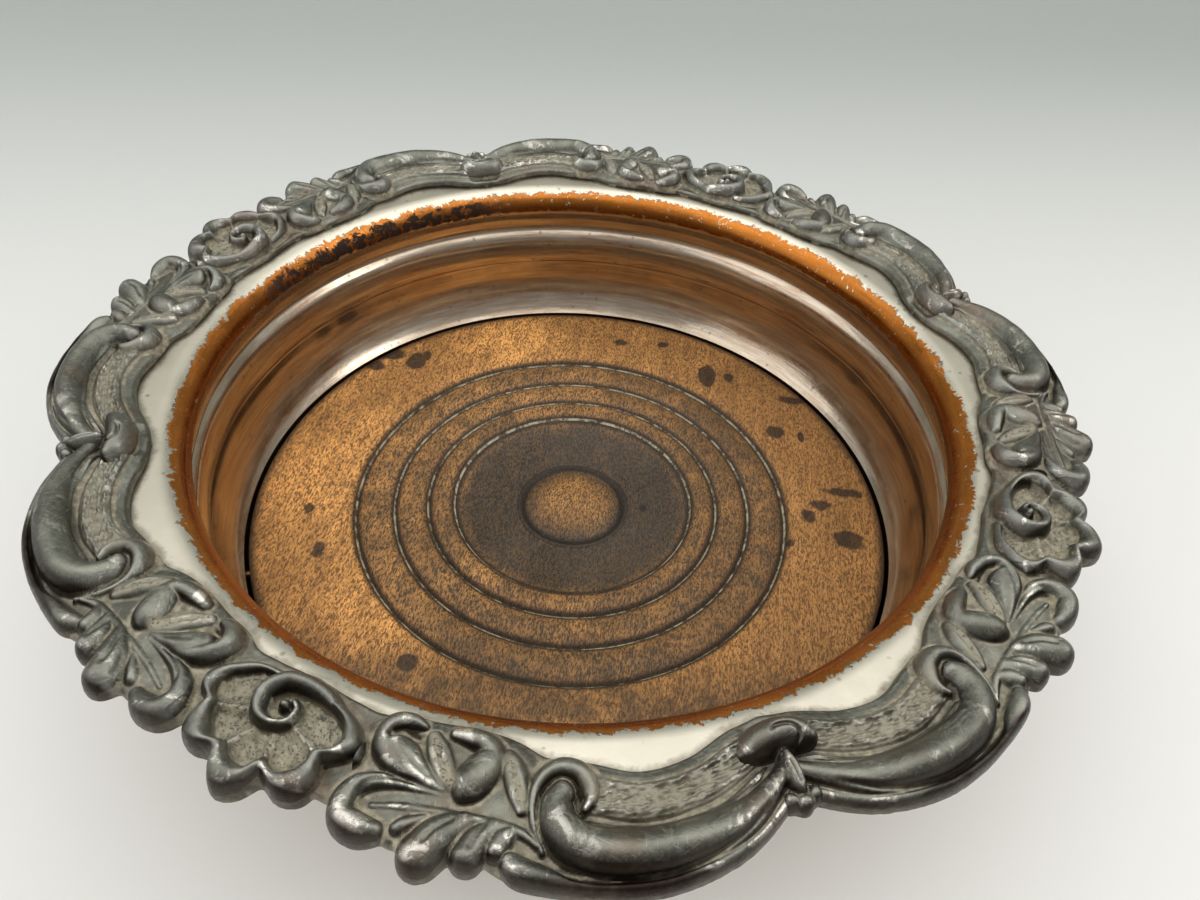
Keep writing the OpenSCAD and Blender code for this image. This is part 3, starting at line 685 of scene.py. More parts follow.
def pattern_rise(points):
    """Rise of all the relief over points of the strip, its two mirrored halves and the shell between them."""
    half = folded(points)
    rise = laid(reeds_rise(half), ribbon(half, MOUND, 6, 0.35), 0.05)
    for rows in (OUTER_ROLL, MAIN_ROLL, *LEAF_LOBES, CURL):
        rise = laid(rise, ribbon(half, rows))
    return laid(cut_into(rise, half, CUTS), shell_rise(points))


def pattern_pits(points):
    """How pitted the casting is over the strip."""
    half = folded(points)
    pits = np.zeros(len(points))
    for rows in PITTED:
        pits = np.maximum(pits, ribbon(half, rows, 6, 0.8))
    fan, gap, reach = shell_share(points)
    pits = np.maximum(pits, np.clip((reach - curve(RIM_WIDTH, fan) * 0.8 - gap) / 0.04, 0, 1))
    return pits * np.clip(1 - (volute_rise(points) - 0.4) / 0.15, 0, 1)


def knot_rise(points):
    rise = np.zeros(len(points))
    for rows in KNOT_RIBBONS:
        rise = laid(rise, ribbon(points, rows))
    return cut_into(rise, points, KNOT_CUTS)


# The flank layer is the mask of painted shade on the flanks that look outwards
MARKS = ("hollow", "crevice", "ridge", "pitted", "flank")


class StripMap:
    """Layers over a part of the strip, worked out once on a fine grid: its height, its finish's marks and the
    mask of painted shade on its flanks.
    """

    step = 0.005
    # Sizes of the blurs that the height is set against, to find its fine and its broad forms
    blurs = (0.02, 0.06)

    def __init__(self, low, high, height_at, pits_at):
        self.low = np.array(low)
        x, y = (np.arange(a, b, self.step) for a, b in zip(low, high))
        grid = np.stack(np.meshgrid(x, y, indexing="ij"), -1).reshape(-1, 2)
        height = height_at(grid).reshape(len(x), len(y))
        fine, broad = (height - self.blurred(height, size) for size in self.blurs)
        # The flanks that look outwards, and the low outer edge, give the mask of painted shade
        slope = np.gradient(height, self.step, axis=1)
        low_edge = np.clip((y - 0.83) / 0.05, 0, 1) * np.clip((0.6 - height) / 0.05, 0, 1)
        self.layers = {
            "height": height,
            "hollow": np.clip(-broad / 0.12, 0, 1),
            "crevice": np.clip(-fine / 0.05 + 0.4 * np.clip((0.56 - height) / 0.07, 0, 1), 0, 1),
            "ridge": np.clip(fine / 0.04, 0, 1),
            "pitted": pits_at(grid).reshape(height.shape),
            "flank": np.clip(np.maximum(-slope / 4 - 0.15, low_edge), 0, 1),
        }

    def blurred(self, height, size):
        reach = int(3 * size / self.step)
        weights = np.exp(-0.5 * (np.arange(-reach, reach + 1) * self.step / size) ** 2)
        weights /= weights.sum()
        for axis in (0, 1):
            wide = np.pad(height, [(reach, reach) if k == axis else (0, 0) for k in (0, 1)], mode="edge")
            count = height.shape[axis]
            height = sum(w * np.take(wide, range(i, i + count), axis=axis) for i, w in enumerate(weights))
        return height

    def at(self, points, layer):
        table = self.layers[layer]
        place = (points - self.low) / self.step
        i = np.clip(place.astype(int), 0, np.array(table.shape) - 2)
        f, g = np.clip(place - i, 0, 1).T
        i, j = i.T
        near = table[i, j] * (1 - g) + table[i, j + 1] * g
        far = table[i + 1, j] * (1 - g) + table[i + 1, j + 1] * g
        return near * (1 - f) + far * f


def edges_of(a, strip, ground):
    """The ground's two edges at places along the strip, moved out where the relief reaches past them."""
    across = np.arange(-0.04, 0.985, 0.004)
    grid = np.stack(np.meshgrid(a / STRIP_SHARE, across, indexing="ij"), -1).reshape(-1, 2)
    full = strip.at(grid, "height").reshape(len(a), len(across)) > ground * 1.1
    half = np.where(a > 1, 2 - a, a)
    first = np.where(full.any(1), across[full.argmax(1)], 1)
    last = np.where(full.any(1), across[len(across) - 1 - full[:, ::-1].argmax(1)], 0)
    low, high = np.minimum(curve(GROUND_IN, half), first), np.maximum(curve(GROUND_OUT, half), last)
    for line in (low, high):
        line[1:-1] = (line[:-2] + 2 * line[1:-1] + line[2:]) / 4
    return low, high


def bent_round(border, a, w, height):
    """A place on the strip, bent round the coaster with its knot on the X axis."""
    radius = border.inner + border.width * w
    turn = a * HALF_REPEAT
    return np.stack([radius * np.cos(turn), radius * np.sin(turn), height + 0 * radius], -1)


def woven_grid(name, places, marks):
    """A grid whose points take the given places and marks, tables of columns of rings of points."""
    columns, ring = places.shape[0] - 1, places.shape[1] - 1
    deselect()
    bpy.ops.mesh.primitive_grid_add(x_subdivisions=columns, y_subdivisions=ring, size=2)
    obj = named(name)
    co = coordinates(obj)
    i = np.rint((co[:, 0] + 1) / 2 * columns).astype(int)
    j = np.rint((co[:, 1] + 1) / 2 * ring).astype(int)
    set_coordinates(obj, places[i, j])
    for key, values in marks.items():
        attribute = obj.data.attributes.new(key, "FLOAT", "POINT")
        attribute.data.foreach_set("value", values[i, j].astype(np.float32))
    return obj


def with_marks(strip, points, shape, below, closing):
    """A casting's marks over its top, carried on over the rows of points below it."""
    marks = {}
    for key in MARKS:
        values = strip.at(points, key).reshape(shape)
        rows = [values, np.repeat(values[:, -1:], below, 1)]
        marks[key] = np.concatenate(rows + [values[:, :1]] * closing, 1)
    return marks


def relief_mount(border, strip, name, start, end, columns, rows, z):
    """One casting of the border between two places along the strip, flat below and closed at both ends."""
    a = np.linspace(start, end, columns + 1)
    ground_share = border.ground / border.relief
    low, high = edges_of(a, strip, ground_share)
    across = low[:, None] + (high - low)[:, None] * np.linspace(0, 1, rows + 1)
    along_strip = np.repeat(a[:, None], rows + 1, 1)
    points = np.stack([along_strip.ravel() / STRIP_SHARE, across.ravel()], 1)
    height = roughened(strip.at(points, "height"), points, CASTING_LUMPS)
    edge = np.minimum(across - low[:, None], high[:, None] - across).ravel() * border.width
    round_share = np.sqrt(1 - np.clip(1 - edge / border.edge_round, 0, 1) ** 2)
    height = height - ground_share * 0.5 * (1 - round_share)
    height = height.reshape(along_strip.shape) * border.relief + z
    top = bent_round(border, along_strip, across, height)
    # Outer side, underside and inner side
    walls = [bent_round(border, a, low + (high - low), (height[:, -1] + z) / 2)]
    walls += [bent_round(border, a, low + (high - low) * share, z) for share in (1, 0.75, 0.5, 0.25, 0)]
    walls.append(bent_round(border, a, low, (height[:, 0] + z) / 2))
    places = np.concatenate([top, np.stack(walls, 1), top[:, :1]], 1)
    return woven_grid(name, places, with_marks(strip, points, along_strip.shape, len(walls), 1))


def knot_piece(border, name, z, turns=160, rings=48):
    """The knot over the meeting of two scrolls, a closed star-shaped casting."""
    strip = StripMap((-0.42, -0.02), (0.42, 0.84), knot_rise, lambda points: np.zeros(len(points)))
    turn = np.linspace(0, 2 * math.pi, turns + 1)
    way = np.stack([np.sin(turn), np.cos(turn)], 1)
    middle = np.array([0, KNOT_MIDDLE])
    reach = np.arange(0.02, 0.48, 0.003)
    rays = middle + way[:, None, :] * reach[:, None]
    full = strip.at(rays.reshape(-1, 2), "height").reshape(len(turn), len(reach)) > 0.05
    out = reach[np.maximum(len(reach) - 1 - full[:, ::-1].argmax(1), 0)]
    out[1:-1] = (out[:-2] + 2 * out[1:-1] + out[2:]) / 4
    share = np.linspace(0, 1, rings + 1) ** 0.8
    points = middle + way[:, None, :] * (out[:, None] * share)[..., None]
    flat = points.reshape(-1, 2)
    height = strip.at(flat, "height").reshape(len(turn), rings + 1) * border.relief
    base = z + border.ground * 0.5
    top = bent_round(border, points[..., 0] * STRIP_SHARE, points[..., 1], height + base + border.knot_edge)
    low = []
    for part in (1, 0.6, 0.25, 0):
        place = middle + way * (out * part)[:, None]
        low.append(bent_round(border, place[:, 0] * STRIP_SHARE, place[:, 1], base))
    marks = with_marks(strip, flat, (len(turn), rings + 1), len(low), 0)
    return woven_grid(name, np.concatenate([top, np.stack(low, 1)], 1), marks)


def place_copy(source, name, turn, mirrored=False):
    """A copy of a piece with its own mesh, mirrored if asked, turned round the coaster."""
    obj = source.copy()
    obj.data = source.data.copy()
    obj.name = obj.data.name = name
    bpy.context.scene.collection.objects.link(obj)
    if mirrored:
        obj.data.transform(Matrix.Scale(-1, 4, (0, 1, 0)))
        obj.data.flip_normals()
    obj.data.transform(Matrix.Rotation(turn, 4, "Z"))
    return obj


# Material helpers


def toned(tint, share):
    """A colour made darker or lighter."""
    return [share * part for part in tint]


class Shader:
    """A node tree under construction, with short calls for the nodes that the finishes use."""

    def __init__(self, tree):
        self.tree = tree
        self.column = 0

    def node(self, kind, **values):
        made = self.tree.nodes.new(kind)
        made.location = (self.column * 40, 0)
        self.column += 1
        for key, value in values.items():
            setattr(made, key, value)
        return made

    def feed(self, socket, value):
        if isinstance(value, bpy.types.NodeSocket):
            self.tree.links.new(value, socket)
        elif value is not None:
            if socket.type == "RGBA" and len(value) == 3:
                value = (*value, 1)
            socket.default_value = value

    def math(self, operation, a, b=0.0):
        made = self.node("ShaderNodeMath", operation=operation)
        self.feed(made.inputs[0], a)
        self.feed(made.inputs[1], b)
        return made.outputs[0]

    def times(self, *values):
        return reduce(lambda a, b: self.math("MULTIPLY", a, b), values)

    def plus(self, *values):
        return reduce(lambda a, b: self.math("ADD", a, b), values)

    def most(self, *values):
        return reduce(lambda a, b: self.math("MAXIMUM", a, b), values)

    def minus(self, a, b):
        return self.math("SUBTRACT", a, b)

    def apart(self, a, b):
        return self.math("ABSOLUTE", self.minus(a, b))

    def reach(self, x, y):
        return self.math("SQRT", self.plus(self.times(x, x), self.times(y, y)))

    def mix(self, share, a, b):
        made = self.node("ShaderNodeMix", data_type="RGBA")
        self.feed(made.inputs[0], share)
        self.feed(made.inputs[6], a)
        self.feed(made.inputs[7], b)
        return made.outputs[2]

    def over(self, tone, tint, mask, share):
        """A tint laid over a tone, as strong as its mask times a share."""
        return self.mix(self.times(mask, share), tone, tint)

    def blend(self, share, a, b):
        made = self.node("ShaderNodeMix", data_type="FLOAT")
        self.feed(made.inputs[0], share)
        self.feed(made.inputs[2], a)
        self.feed(made.inputs[3], b)
        return made.outputs[0]

    def span(self, value, low, high, to_low=0.0, to_high=1.0):
        made = self.node("ShaderNodeMapRange", interpolation_type="SMOOTHSTEP")
        self.feed(made.inputs[0], value)
        for socket, number in zip(made.inputs[1:5], (low, high, to_low, to_high)):
            self.feed(socket, number)
        return made.outputs[0]

    def noise(self, place, scale, detail=3.0, rough=0.55, bend=0.0):
        made = self.node("ShaderNodeTexNoise")
        self.feed(made.inputs["Vector"], place)
        self.feed(made.inputs["Scale"], scale)
        self.feed(made.inputs["Detail"], detail)
        self.feed(made.inputs["Roughness"], rough)
        self.feed(made.inputs["Distortion"], bend)
        return made.outputs["Fac"]

    def cells(self, place, scale):
        made = self.node("ShaderNodeTexVoronoi")
        self.feed(made.inputs["Vector"], place)
        self.feed(made.inputs["Scale"], scale)
        return made.outputs["Distance"]

    def millimetres(self, stretch=(1, 1, 1), turn=(0, 0, 0)):
        """Object coordinates in millimetres, stretched and turned for a directed grain."""
        place = self.node("ShaderNodeTexCoord").outputs["Object"]
        return self.directed(place, turn, [1000 * share for share in stretch])

    def directed(self, place, turn, stretch):
        """Turned first and then stretched, so that a grain or a scratch runs along any direction."""
        for label, value in (("Rotation", turn), ("Scale", stretch)):
            made = self.node("ShaderNodeMapping")
            self.feed(made.inputs["Vector"], place)
            made.inputs[label].default_value = value
            place = made.outputs["Vector"]
        return place

    def split(self, place):
        made = self.node("ShaderNodeSeparateXYZ")
        self.feed(made.inputs[0], place)
        return made.outputs

    def joined(self, x, y, z):
        made = self.node("ShaderNodeCombineXYZ")
        for socket, value in zip(made.inputs, (x, y, z)):
            self.feed(socket, value)
        return made.outputs[0]

    def radius(self, place):
        x, y, _ = self.split(place)
        return self.reach(x, y)

    def attribute(self, name):
        return self.node("ShaderNodeAttribute", attribute_name=name).outputs["Fac"]

    def bump(self, height, strength, distance):
        made = self.node("ShaderNodeBump")
        self.feed(made.inputs["Height"], height)
        made.inputs["Strength"].default_value = strength
        made.inputs["Distance"].default_value = distance
        return made.outputs["Normal"]

    def group(self, tree, **values):
        made = self.node("ShaderNodeGroup", node_tree=tree)
        for name, value in values.items():
            self.feed(made.inputs[name.replace("_", " ")], value)
        return made.outputs


def new_group(name, inputs, outputs):
    """An empty shader group with named inputs and outputs: name, kind and default."""
    tree = bpy.data.node_groups.new(name, "ShaderNodeTree")
    for label, kind, default in inputs:
        socket = tree.interface.new_socket(label, in_out="INPUT", socket_type=kind)
        if default is not None:
            socket.default_value = default
    for label, kind in outputs:
        tree.interface.new_socket(label, in_out="OUTPUT", socket_type=kind)
    shader = Shader(tree)
    return shader, shader.node("NodeGroupInput").outputs, shader.node("NodeGroupOutput").inputs


def new_material(name, **constants):
    """A material with its own surface shader, whose plain values are set here."""
    material = bpy.data.materials.new(name)
    material.use_nodes = True
    tree = material.node_tree
    tree.nodes.clear()
    shader = Shader(tree)
    surface = shader.node("ShaderNodeBsdfPrincipled")
    for label, value in constants.items():
        surface.inputs[label.replace("_", " ")].default_value = value
    shader.tree.links.new(surface.outputs[0], shader.node("ShaderNodeOutputMaterial").inputs[0])
    return material, shader, surface.inputs


def scratches_group():
    """Fine crossing scratches and handling marks, as a mask and a height."""
    s, given, out = new_group(
        "Fine scratches",
        [("Place", "NodeSocketVector", None), ("Density", "NodeSocketFloat", 0.5)],
        [("Mask", "NodeSocketFloat"), ("Cloud", "NodeSocketFloat")],
    )
    marks = None
    for turn, stretch in ((0.3, (0.18, 3.2, 1)), (1.5, (0.14, 2.6, 1)), (2.5, (0.22, 3.8, 1))):
        way = s.directed(given["Place"], (0.2, 0.1, turn), stretch)
        line = s.span(s.noise(way, 1.4, 2, 0.6, 0.2), 0.62, 0.7)
        marks = line if marks is None else s.most(marks, line)
    s.feed(out["Mask"], s.times(marks, given["Density"]))
    s.feed(out["Cloud"], s.noise(given["Place"], 0.16, 5, 0.6, 0.4))
    return s.tree


def tarnish_group():
    """Patchy tarnish in large clouds with small spots, as one mask from 0 to 1."""
    s, given, out = new_group(
        "Patchy tarnish",
        [("Place", "NodeSocketVector", None), ("Amount", "NodeSocketFloat", 0.5)],
        [("Mask", "NodeSocketFloat"), ("Spots", "NodeSocketFloat")],
    )
    cloud = s.noise(given["Place"], 0.09, 6, 0.62, 0.6)
    edge = s.minus(0.78, s.times(given["Amount"], 0.5))
    s.feed(out["Mask"], s.span(cloud, s.minus(edge, 0.1), s.plus(edge, 0.1)))
    spots = s.span(s.cells(given["Place"], 0.42), 0.24, 0.1)
    s.feed(out["Spots"], s.times(spots, s.span(s.noise(given["Place"], 0.3, 2), 0.5, 0.6)))
    return s.tree


def border_material(finish, groups):
    """Dull grey cast plate: dried polish in its crevices, pitted olive channels, bright worn ridges and
    painted dark brown shade on the flanks that look outwards.
    """
    material, s, surface = new_material("Cast border plate")
    place = s.millimetres()
    hollow, crevice, ridge, pitted, flank = (s.attribute(key) for key in MARKS)
    marks = s.group(groups["scratches"], Place=place, Density=0.8)
    fine = s.noise(place, 1.7, 5, 0.65)
    cloud = s.noise(place, 0.16, 4, 0.6, 0.3)
    tone = s.plus(s.times(cloud, 0.9), s.times(fine, 0.35))
    dull = s.mix(s.span(tone, 0.4, 0.9), toned(finish.tarnish, 0.6), toned(finish.tarnish, 1.5))
    dull = s.over(dull, toned(finish.tarnish, 0.4), s.span(hollow, 0.1, 0.8), 0.6)
    tanned = s.span(s.noise(place, 0.075, 5, 0.6, 0.4), 0.52, 0.68, 0.0, 0.55)
    dull = s.mix(tanned, dull, TANNED)
    # Painted shade, near-black brown, on the flanks that look outwards and down and on the low outer edge
    dull = s.mix(s.times(flank, s.span(cloud, 0.35, 0.6, 0.75, 1.0)), dull, BROWN_FLANK_SHADE)
    bright = s.minus(1.0, flank)
    rubbed = s.times(s.span(ridge, 0.2, 0.9), 0.4, bright)
    dull = s.mix(rubbed, dull, RUBBED_GREY)
    y = s.split(place)[1]
    front = s.most(s.span(y, *FRONT_WEAR, 0.0, 0.035), s.span(y, *BACK_WEAR, 0.0, 0.04))
    wear = s.span(s.plus(s.noise(place, 0.2, 6, 0.72, 0.5), front), 0.555, 0.64)
    worn = s.times(s.span(s.minus(ridge, hollow), 0.0, 0.6), wear, bright)
    metal = s.mix(worn, dull, WORN_BRIGHT)
    metal = s.mix(s.times(marks["Mask"], 0.3, bright), metal, SCRATCH_GREY)
    # Pitted channels and leaflets, olive between their dark pits
    rough = s.times(pitted, s.span(s.noise(place, 0.55, 5, 0.7), 0.32, 0.56, 0.3, 1.0))
    pits = s.most(s.span(s.cells(place, 2.1), 0.26, 0.12), s.span(s.noise(place, 1.6, 4, 0.7), 0.56, 0.64))
    pits = s.times(pits, s.span(pitted, 0.6, 0.9))
    metal = s.over(metal, OLIVE, rough, 0.85)
    metal = s.over(metal, PIT_DARK, pits, 0.6)
    # Dried polish in the crevices
    loose = s.times(s.minus(s.noise(place, 0.5, 5, 0.7), 0.5), 0.8)
    dirty = s.plus(crevice, s.times(hollow, 0.45), loose)
    dirt = s.times(s.span(dirty, 0.62, 1.05), s.span(s.noise(place, 0.13, 4, 0.6), 0.36, 0.58, 0.3, 1.0))
    dirt = s.times(dirt, s.span(flank, 0.2, 0.8, 1.0, 0.25))
    crumbs = s.span(s.noise(place, 0.9, 4, 0.6), 0.35, 0.7)
    crust = s.mix(crumbs, toned(finish.grime, 0.45), toned(finish.grime, 0.95))
    s.feed(surface["Base Color"], s.mix(dirt, metal, crust))
    matt = s.most(dirt, s.times(rough, 0.75))
    s.feed(surface["Metallic"], s.blend(matt, 0.95, 0.1))
    shine = s.blend(worn, s.span(fine, 0.3, 0.7, 0.28, 0.46), 0.22)
    s.feed(surface["Roughness"], s.blend(matt, shine, 0.75))
    relief = s.minus(s.times(fine, 0.5), s.times(pits, 1.2))
    relief = s.minus(relief, s.times(marks["Mask"], 0.15))
    s.feed(surface["Normal"], s.bump(relief, 0.75, 0.0002))
    return material


def wall_material(finish, groups):
    """Old silver plate on copper: bright on the flange, brown lower down with a painted reflection of the
    wood, and worn to the copper on the rolled lip.
    """
    material, s, surface = new_material("Worn silver plate")
    place = s.millimetres()
    x, y, z = s.split(place)
    r = s.radius(place)
    marks = s.group(groups["scratches"], Place=place, Density=1.0)
    spots = s.group(groups["tarnish"], Place=place, Amount=0.45)
    ragged = s.minus(s.noise(place, 0.28, 7, 0.72, 0.6), 0.5)
    flakes = s.minus(s.noise(place, 1.3, 4, 0.6), 0.5)
    edge = s.plus(r, s.plus(s.times(ragged, 4.4), s.times(flakes, 1.8)))
    # The wear reaches further out towards the near side and the right
    edge = s.plus(edge, s.minus(s.times(y, 0.007), s.times(x, 0.006)))
    inside = s.span(edge, WORN_RADIUS + 0.1, WORN_RADIUS - 0.1)
    above = s.span(s.plus(z, s.times(ragged, 2.5)), *COPPER_FOOT)
    skin = s.span(s.noise(place, 0.75, 5, 0.7, 0.3), 0.635, 0.65, 1.0, 0.0)
    bare = s.times(inside, above, skin)
    # Dark crusted tarnish along the far left of the lip
    turn = s.math("ARCTAN2", y, x)
    corner = s.times(*(s.span(turn, *band) for band in CRUST_TURNS))
    wavering = s.plus(r, s.times(ragged, 5.0))
    lip = s.times(s.span(wavering, *CRUST_EDGE), s.span(s.plus(z, s.times(ragged, 6.0)), *CRUST_FOOT))
    grains = s.span(s.noise(place, 0.5, 7, 0.7, 0.6), 0.42, 0.47)
    crust = s.times(corner, lip, grains)
    speck = s.times(s.span(r, *SPECK_EDGE), s.span(s.noise(place, 0.9, 5, 0.75, 0.4), 0.67, 0.7))
    speck = s.times(speck, s.span(z, *SPECK_FOOT))
    dark = s.most(crust, speck)
    cloud = marks["Cloud"]
    silver = s.mix(s.span(cloud, 0.35, 0.7), toned(finish.silver, 0.93), finish.silver)
    low = s.span(z, *BROWN_TOP)
    # Painted reflection of the wood, in brown streaks that run round the lower wall, with copper showing
    # through in the neck
    over, ahead = (s.times(s.math("DIVIDE", side, r), 6.0) for side in (x, y))
    round_way = s.joined(over, ahead, s.times(z, 1.3))
    streaks = s.noise(round_way, 1.0, 6, 0.68, 0.3)
    brown = s.times(low, s.span(streaks, 0.3, 0.66, 0.45, 1.0))
    silver = s.mix(brown, silver, WOOD_REFLECTION_BROWN)
    neck = s.times(s.span(z, *NECK_FOOT), s.span(z, *NECK_TOP))
    shown = s.times(neck, s.span(streaks, 0.52, 0.64), s.span(s.noise(place, 0.05, 4, 0.6), 0.45, 0.6))
    silver = s.over(silver, NECK_COPPER, shown, 0.7)
    silver = s.over(silver, SPOT_BROWN, spots["Spots"], 0.6)
    copper = s.mix(s.span(cloud, 0.3, 0.7), toned(finish.copper, 0.82), finish.copper)
    copper = s.mix(s.span(streaks, 0.4, 0.62, 0.4, 0.0), copper, toned(finish.copper, 0.45))
    copper = s.over(copper, SCRATCHED_COPPER, marks["Mask"], 0.25)
    copper = s.mix(s.span(z, *LIP_SHADE_TOP, 0.0, 0.75), copper, toned(finish.copper, 0.3))
    metal = s.mix(bare, silver, copper)
    outline = s.times(s.span(s.apart(edge, WORN_RADIUS + 0.06), *OUTLINE_GAP), s.span(cloud, 0.42, 0.6))
    metal = s.over(metal, WORN_OUTLINE, s.times(outline, above), 0.8)
    # Grime and painted shadow on the flange beside the border's ground
    gap = s.plus(s.attribute("beside"), s.times(ragged, 3.0))
    beside = s.times(s.span(gap, *GRIME_SHADOW_GAP), s.span(z, *GRIME_SHADOW_FOOT))
    metal = s.over(metal, GRIME_AND_SHADOW, beside, 0.75)
    s.feed(surface["Base Color"], s.mix(dark, metal, LIP_CRUST))
    s.feed(surface["Metallic"], s.blend(dark, 1.0, 0.5))
    flat = s.times(s.span(r, *FLAT_EDGE), s.span(z, *FLAT_FOOT))
    shine = s.blend(flat, s.span(cloud, 0.3, 0.7, 0.13, 0.24), 0.4)
    shine = s.blend(bare, shine, s.span(cloud, 0.3, 0.7, 0.2, 0.36))
    s.feed(surface["Roughness"], s.blend(dark, shine, 0.6))
    height = s.minus(s.times(s.noise(place, 0.6, 4, 0.6), 0.5), s.times(bare, 0.35))
    height = s.plus(height, s.times(low, streaks, 0.5))
    height = s.minus(height, s.times(marks["Mask"], 0.1))
    s.feed(surface["Normal"], s.bump(height, 0.35, 0.0001))
    return material


def wire_material(finish, groups):
    """Rubbed silver of the foot wire, with tarnish above and below."""
    material, s, surface = new_material("Foot wire silver", Metallic=1.0)
    place = s.millimetres()
    marks = s.group(groups["scratches"], Place=place, Density=0.9)
    patches = s.group(groups["tarnish"], Place=place, Amount=0.7)
    silver = s.mix(patches["Mask"], finish.silver, DULL_SILVER)
    s.feed(surface["Base Color"], s.mix(patches["Spots"], silver, DARK_SPOT))
    s.feed(surface["Roughness"], s.span(marks["Cloud"], 0.3, 0.7, 0.22, 0.42))
    s.feed(surface["Normal"], s.bump(s.minus(marks["Cloud"], marks["Mask"]), 0.3, 0.00008))
    return material


def wood_material(finish, base):
    """Turned hardwood: flecked golden brown, dark and waxed in its grooves, stained in its hollow, with
    painted shade beside its grooves, at its edge, at the front and towards the right.
    """
    material, s, surface = new_material(
        "Turned wood", Specular_IOR_Level=0.3, Coat_Weight=0.06, Coat_Roughness=0.35
    )
    place = s.millimetres()
    r = s.radius(place)
    x, y, _ = s.split(place)
    grain = s.noise(s.millimetres((0.6, 0.05, 0.6), GRAIN_WAY), 1.0, 6, 0.62, 0.4)
    flecks = s.span(s.noise(s.millimetres((3.6, 1.15, 1.0), GRAIN_WAY), 1.0, 3, 0.65, 0.3), 0.46, 0.6)
    pores = s.span(s.noise(s.millimetres((6.5, 1.8, 1.0), GRAIN_WAY), 1.0, 2, 0.6), 0.54, 0.66)
    cloud = s.noise(place, 0.05, 5, 0.6, 0.3)
    light = s.mix(s.span(cloud, 0.35, 0.7), toned(finish.wood, 1.05), toned(finish.wood, 2.0))
    light = s.mix(s.span(x, *WOOD_SHADE_RIGHT, 0.0, 0.72), light, toned(finish.wood, 0.62))
    tone = s.mix(s.span(grain, 0.35, 0.75, 0.0, 0.45), light, finish.wood_dark)
    tone = s.over(tone, finish.wood_dark, flecks, 0.88)
    tone = s.over(tone, toned(finish.wood_dark, 0.6), pores, 0.7)
    # Turned part: grey-brown patina over it in patches, and in the same colour painted shade on the beads'
    # flanks beside the grooves
    grooves = [radius * 1000 for radius in base.grooves]
    outer, inner = grooves[0], grooves[3]
    turned_part = s.span(r, outer + 1.8, outer - 0.2)
    shade, groove, wax = 0.0, 0.0, 0.0
    for radius in (*grooves, base.boss_radius * 1000):
        gap = s.apart(r, radius)
        shade = s.most(shade, s.span(gap, *BEAD_SHADE_GAP))
        groove = s.most(groove, s.span(gap, *GROOVE_GAP))
        if radius > inner - 1:
            line = s.apart(r, radius + 0.1)
            wax = s.most(wax, s.span(line, *WAX_GAP))
    patches = s.span(s.noise(place, 0.2, 6, 0.7, 0.4), 0.38, 0.6, 0.6, 1.0)
    patina = s.most(s.times(shade, s.span(s.noise(place, 0.4, 5, 0.7), 0.3, 0.6, 0.55, 0.95)), patches)
    patina = s.times(patina, s.times(s.span(flecks, 0.0, 1.0, 0.66, 1.0), s.span(r, *PATINA_EDGE, 0.62, 1.0)))
    tone = s.mix(s.times(turned_part, patina), tone, finish.patina)
    edge = s.plus(r, s.times(s.noise(place, 0.12, 5, 0.6), 6.0))
    stain = s.times(s.span(edge, inner + 4.6, inner - 0.6), s.span(r, *STAIN_EDGE, 0.05, 0.95))
    stain = s.times(stain, s.span(flecks, 0.0, 1.0, 0.82, 1.0))
    blotch = s.span(s.noise(place, 0.07, 4, 0.6), 0.4, 0.62)
    tone = s.mix(stain, tone, s.mix(blotch, finish.stain, toned(finish.stain, 1.7)))
    tone = s.over(tone, STAINED_GRAIN, s.times(stain, s.minus(1.0, flecks)), 0.45)
    tone = s.over(tone, GROOVE_DARK, groove, 0.85)
    waxed = s.times(wax, s.span(s.noise(place, 0.4, 6, 0.75), 0.42, 0.58, 0.05, 0.8))
    tone = s.mix(waxed, tone, OLD_WAX)
    drops = 0.0
    bent = s.times(s.minus(s.noise(place, 0.5, 4, 0.6), 0.5), 2.2)
    for cx, cy, size, long in DROPS:
        dx = s.times(s.minus(x, cx), long)
        dy = s.minus(y, cy)
        gap = s.reach(dx, dy)
        drops = s.most(drops, s.span(s.plus(gap, bent), size + 0.5, size - 0.3))
    tone = s.over(tone, DROP_DARK, drops, 0.85)
    smudge = s.span(s.noise(place, 0.11, 6, 0.7, 0.6), 0.6, 0.72)
    tone = s.over(tone, SMUDGE_BROWN, smudge, 0.45)
    uneven = s.span(s.noise(place, 0.2, 5, 0.65, 0.3), 0.3, 0.62, 0.35, 0.9)
    front = s.times(s.span(y, *WOOD_SHADE_FRONT), uneven)
    tone = s.over(tone, SHADED_WOOD, front, 0.85)
    # Painted shade on the wood's outer edge, in the gap by the wall's foot
    rim = s.span(r, base.radius * 1000 - 2.2, base.radius * 1000 - 0.2)
    tone = s.over(tone, EDGE_SHADE, rim, 0.85)
    s.feed(surface["Base Color"], tone)
    s.feed(surface["Roughness"], s.blend(stain, s.span(grain, 0.3, 0.75, 0.45, 0.6), 0.42))
    turning = s.joined(s.times(r, 2.4), s.times(s.math("ARCTAN2", y, x), 1.5), 0.0)
    depth = s.plus(s.times(pores, -0.6), s.times(flecks, -0.5))
    depth = s.plus(depth, s.times(s.noise(turning, 1.0, 3, 0.6), turned_part, 0.4))
    s.feed(surface["Normal"], s.bump(depth, 0.55, 0.0002))
    return material


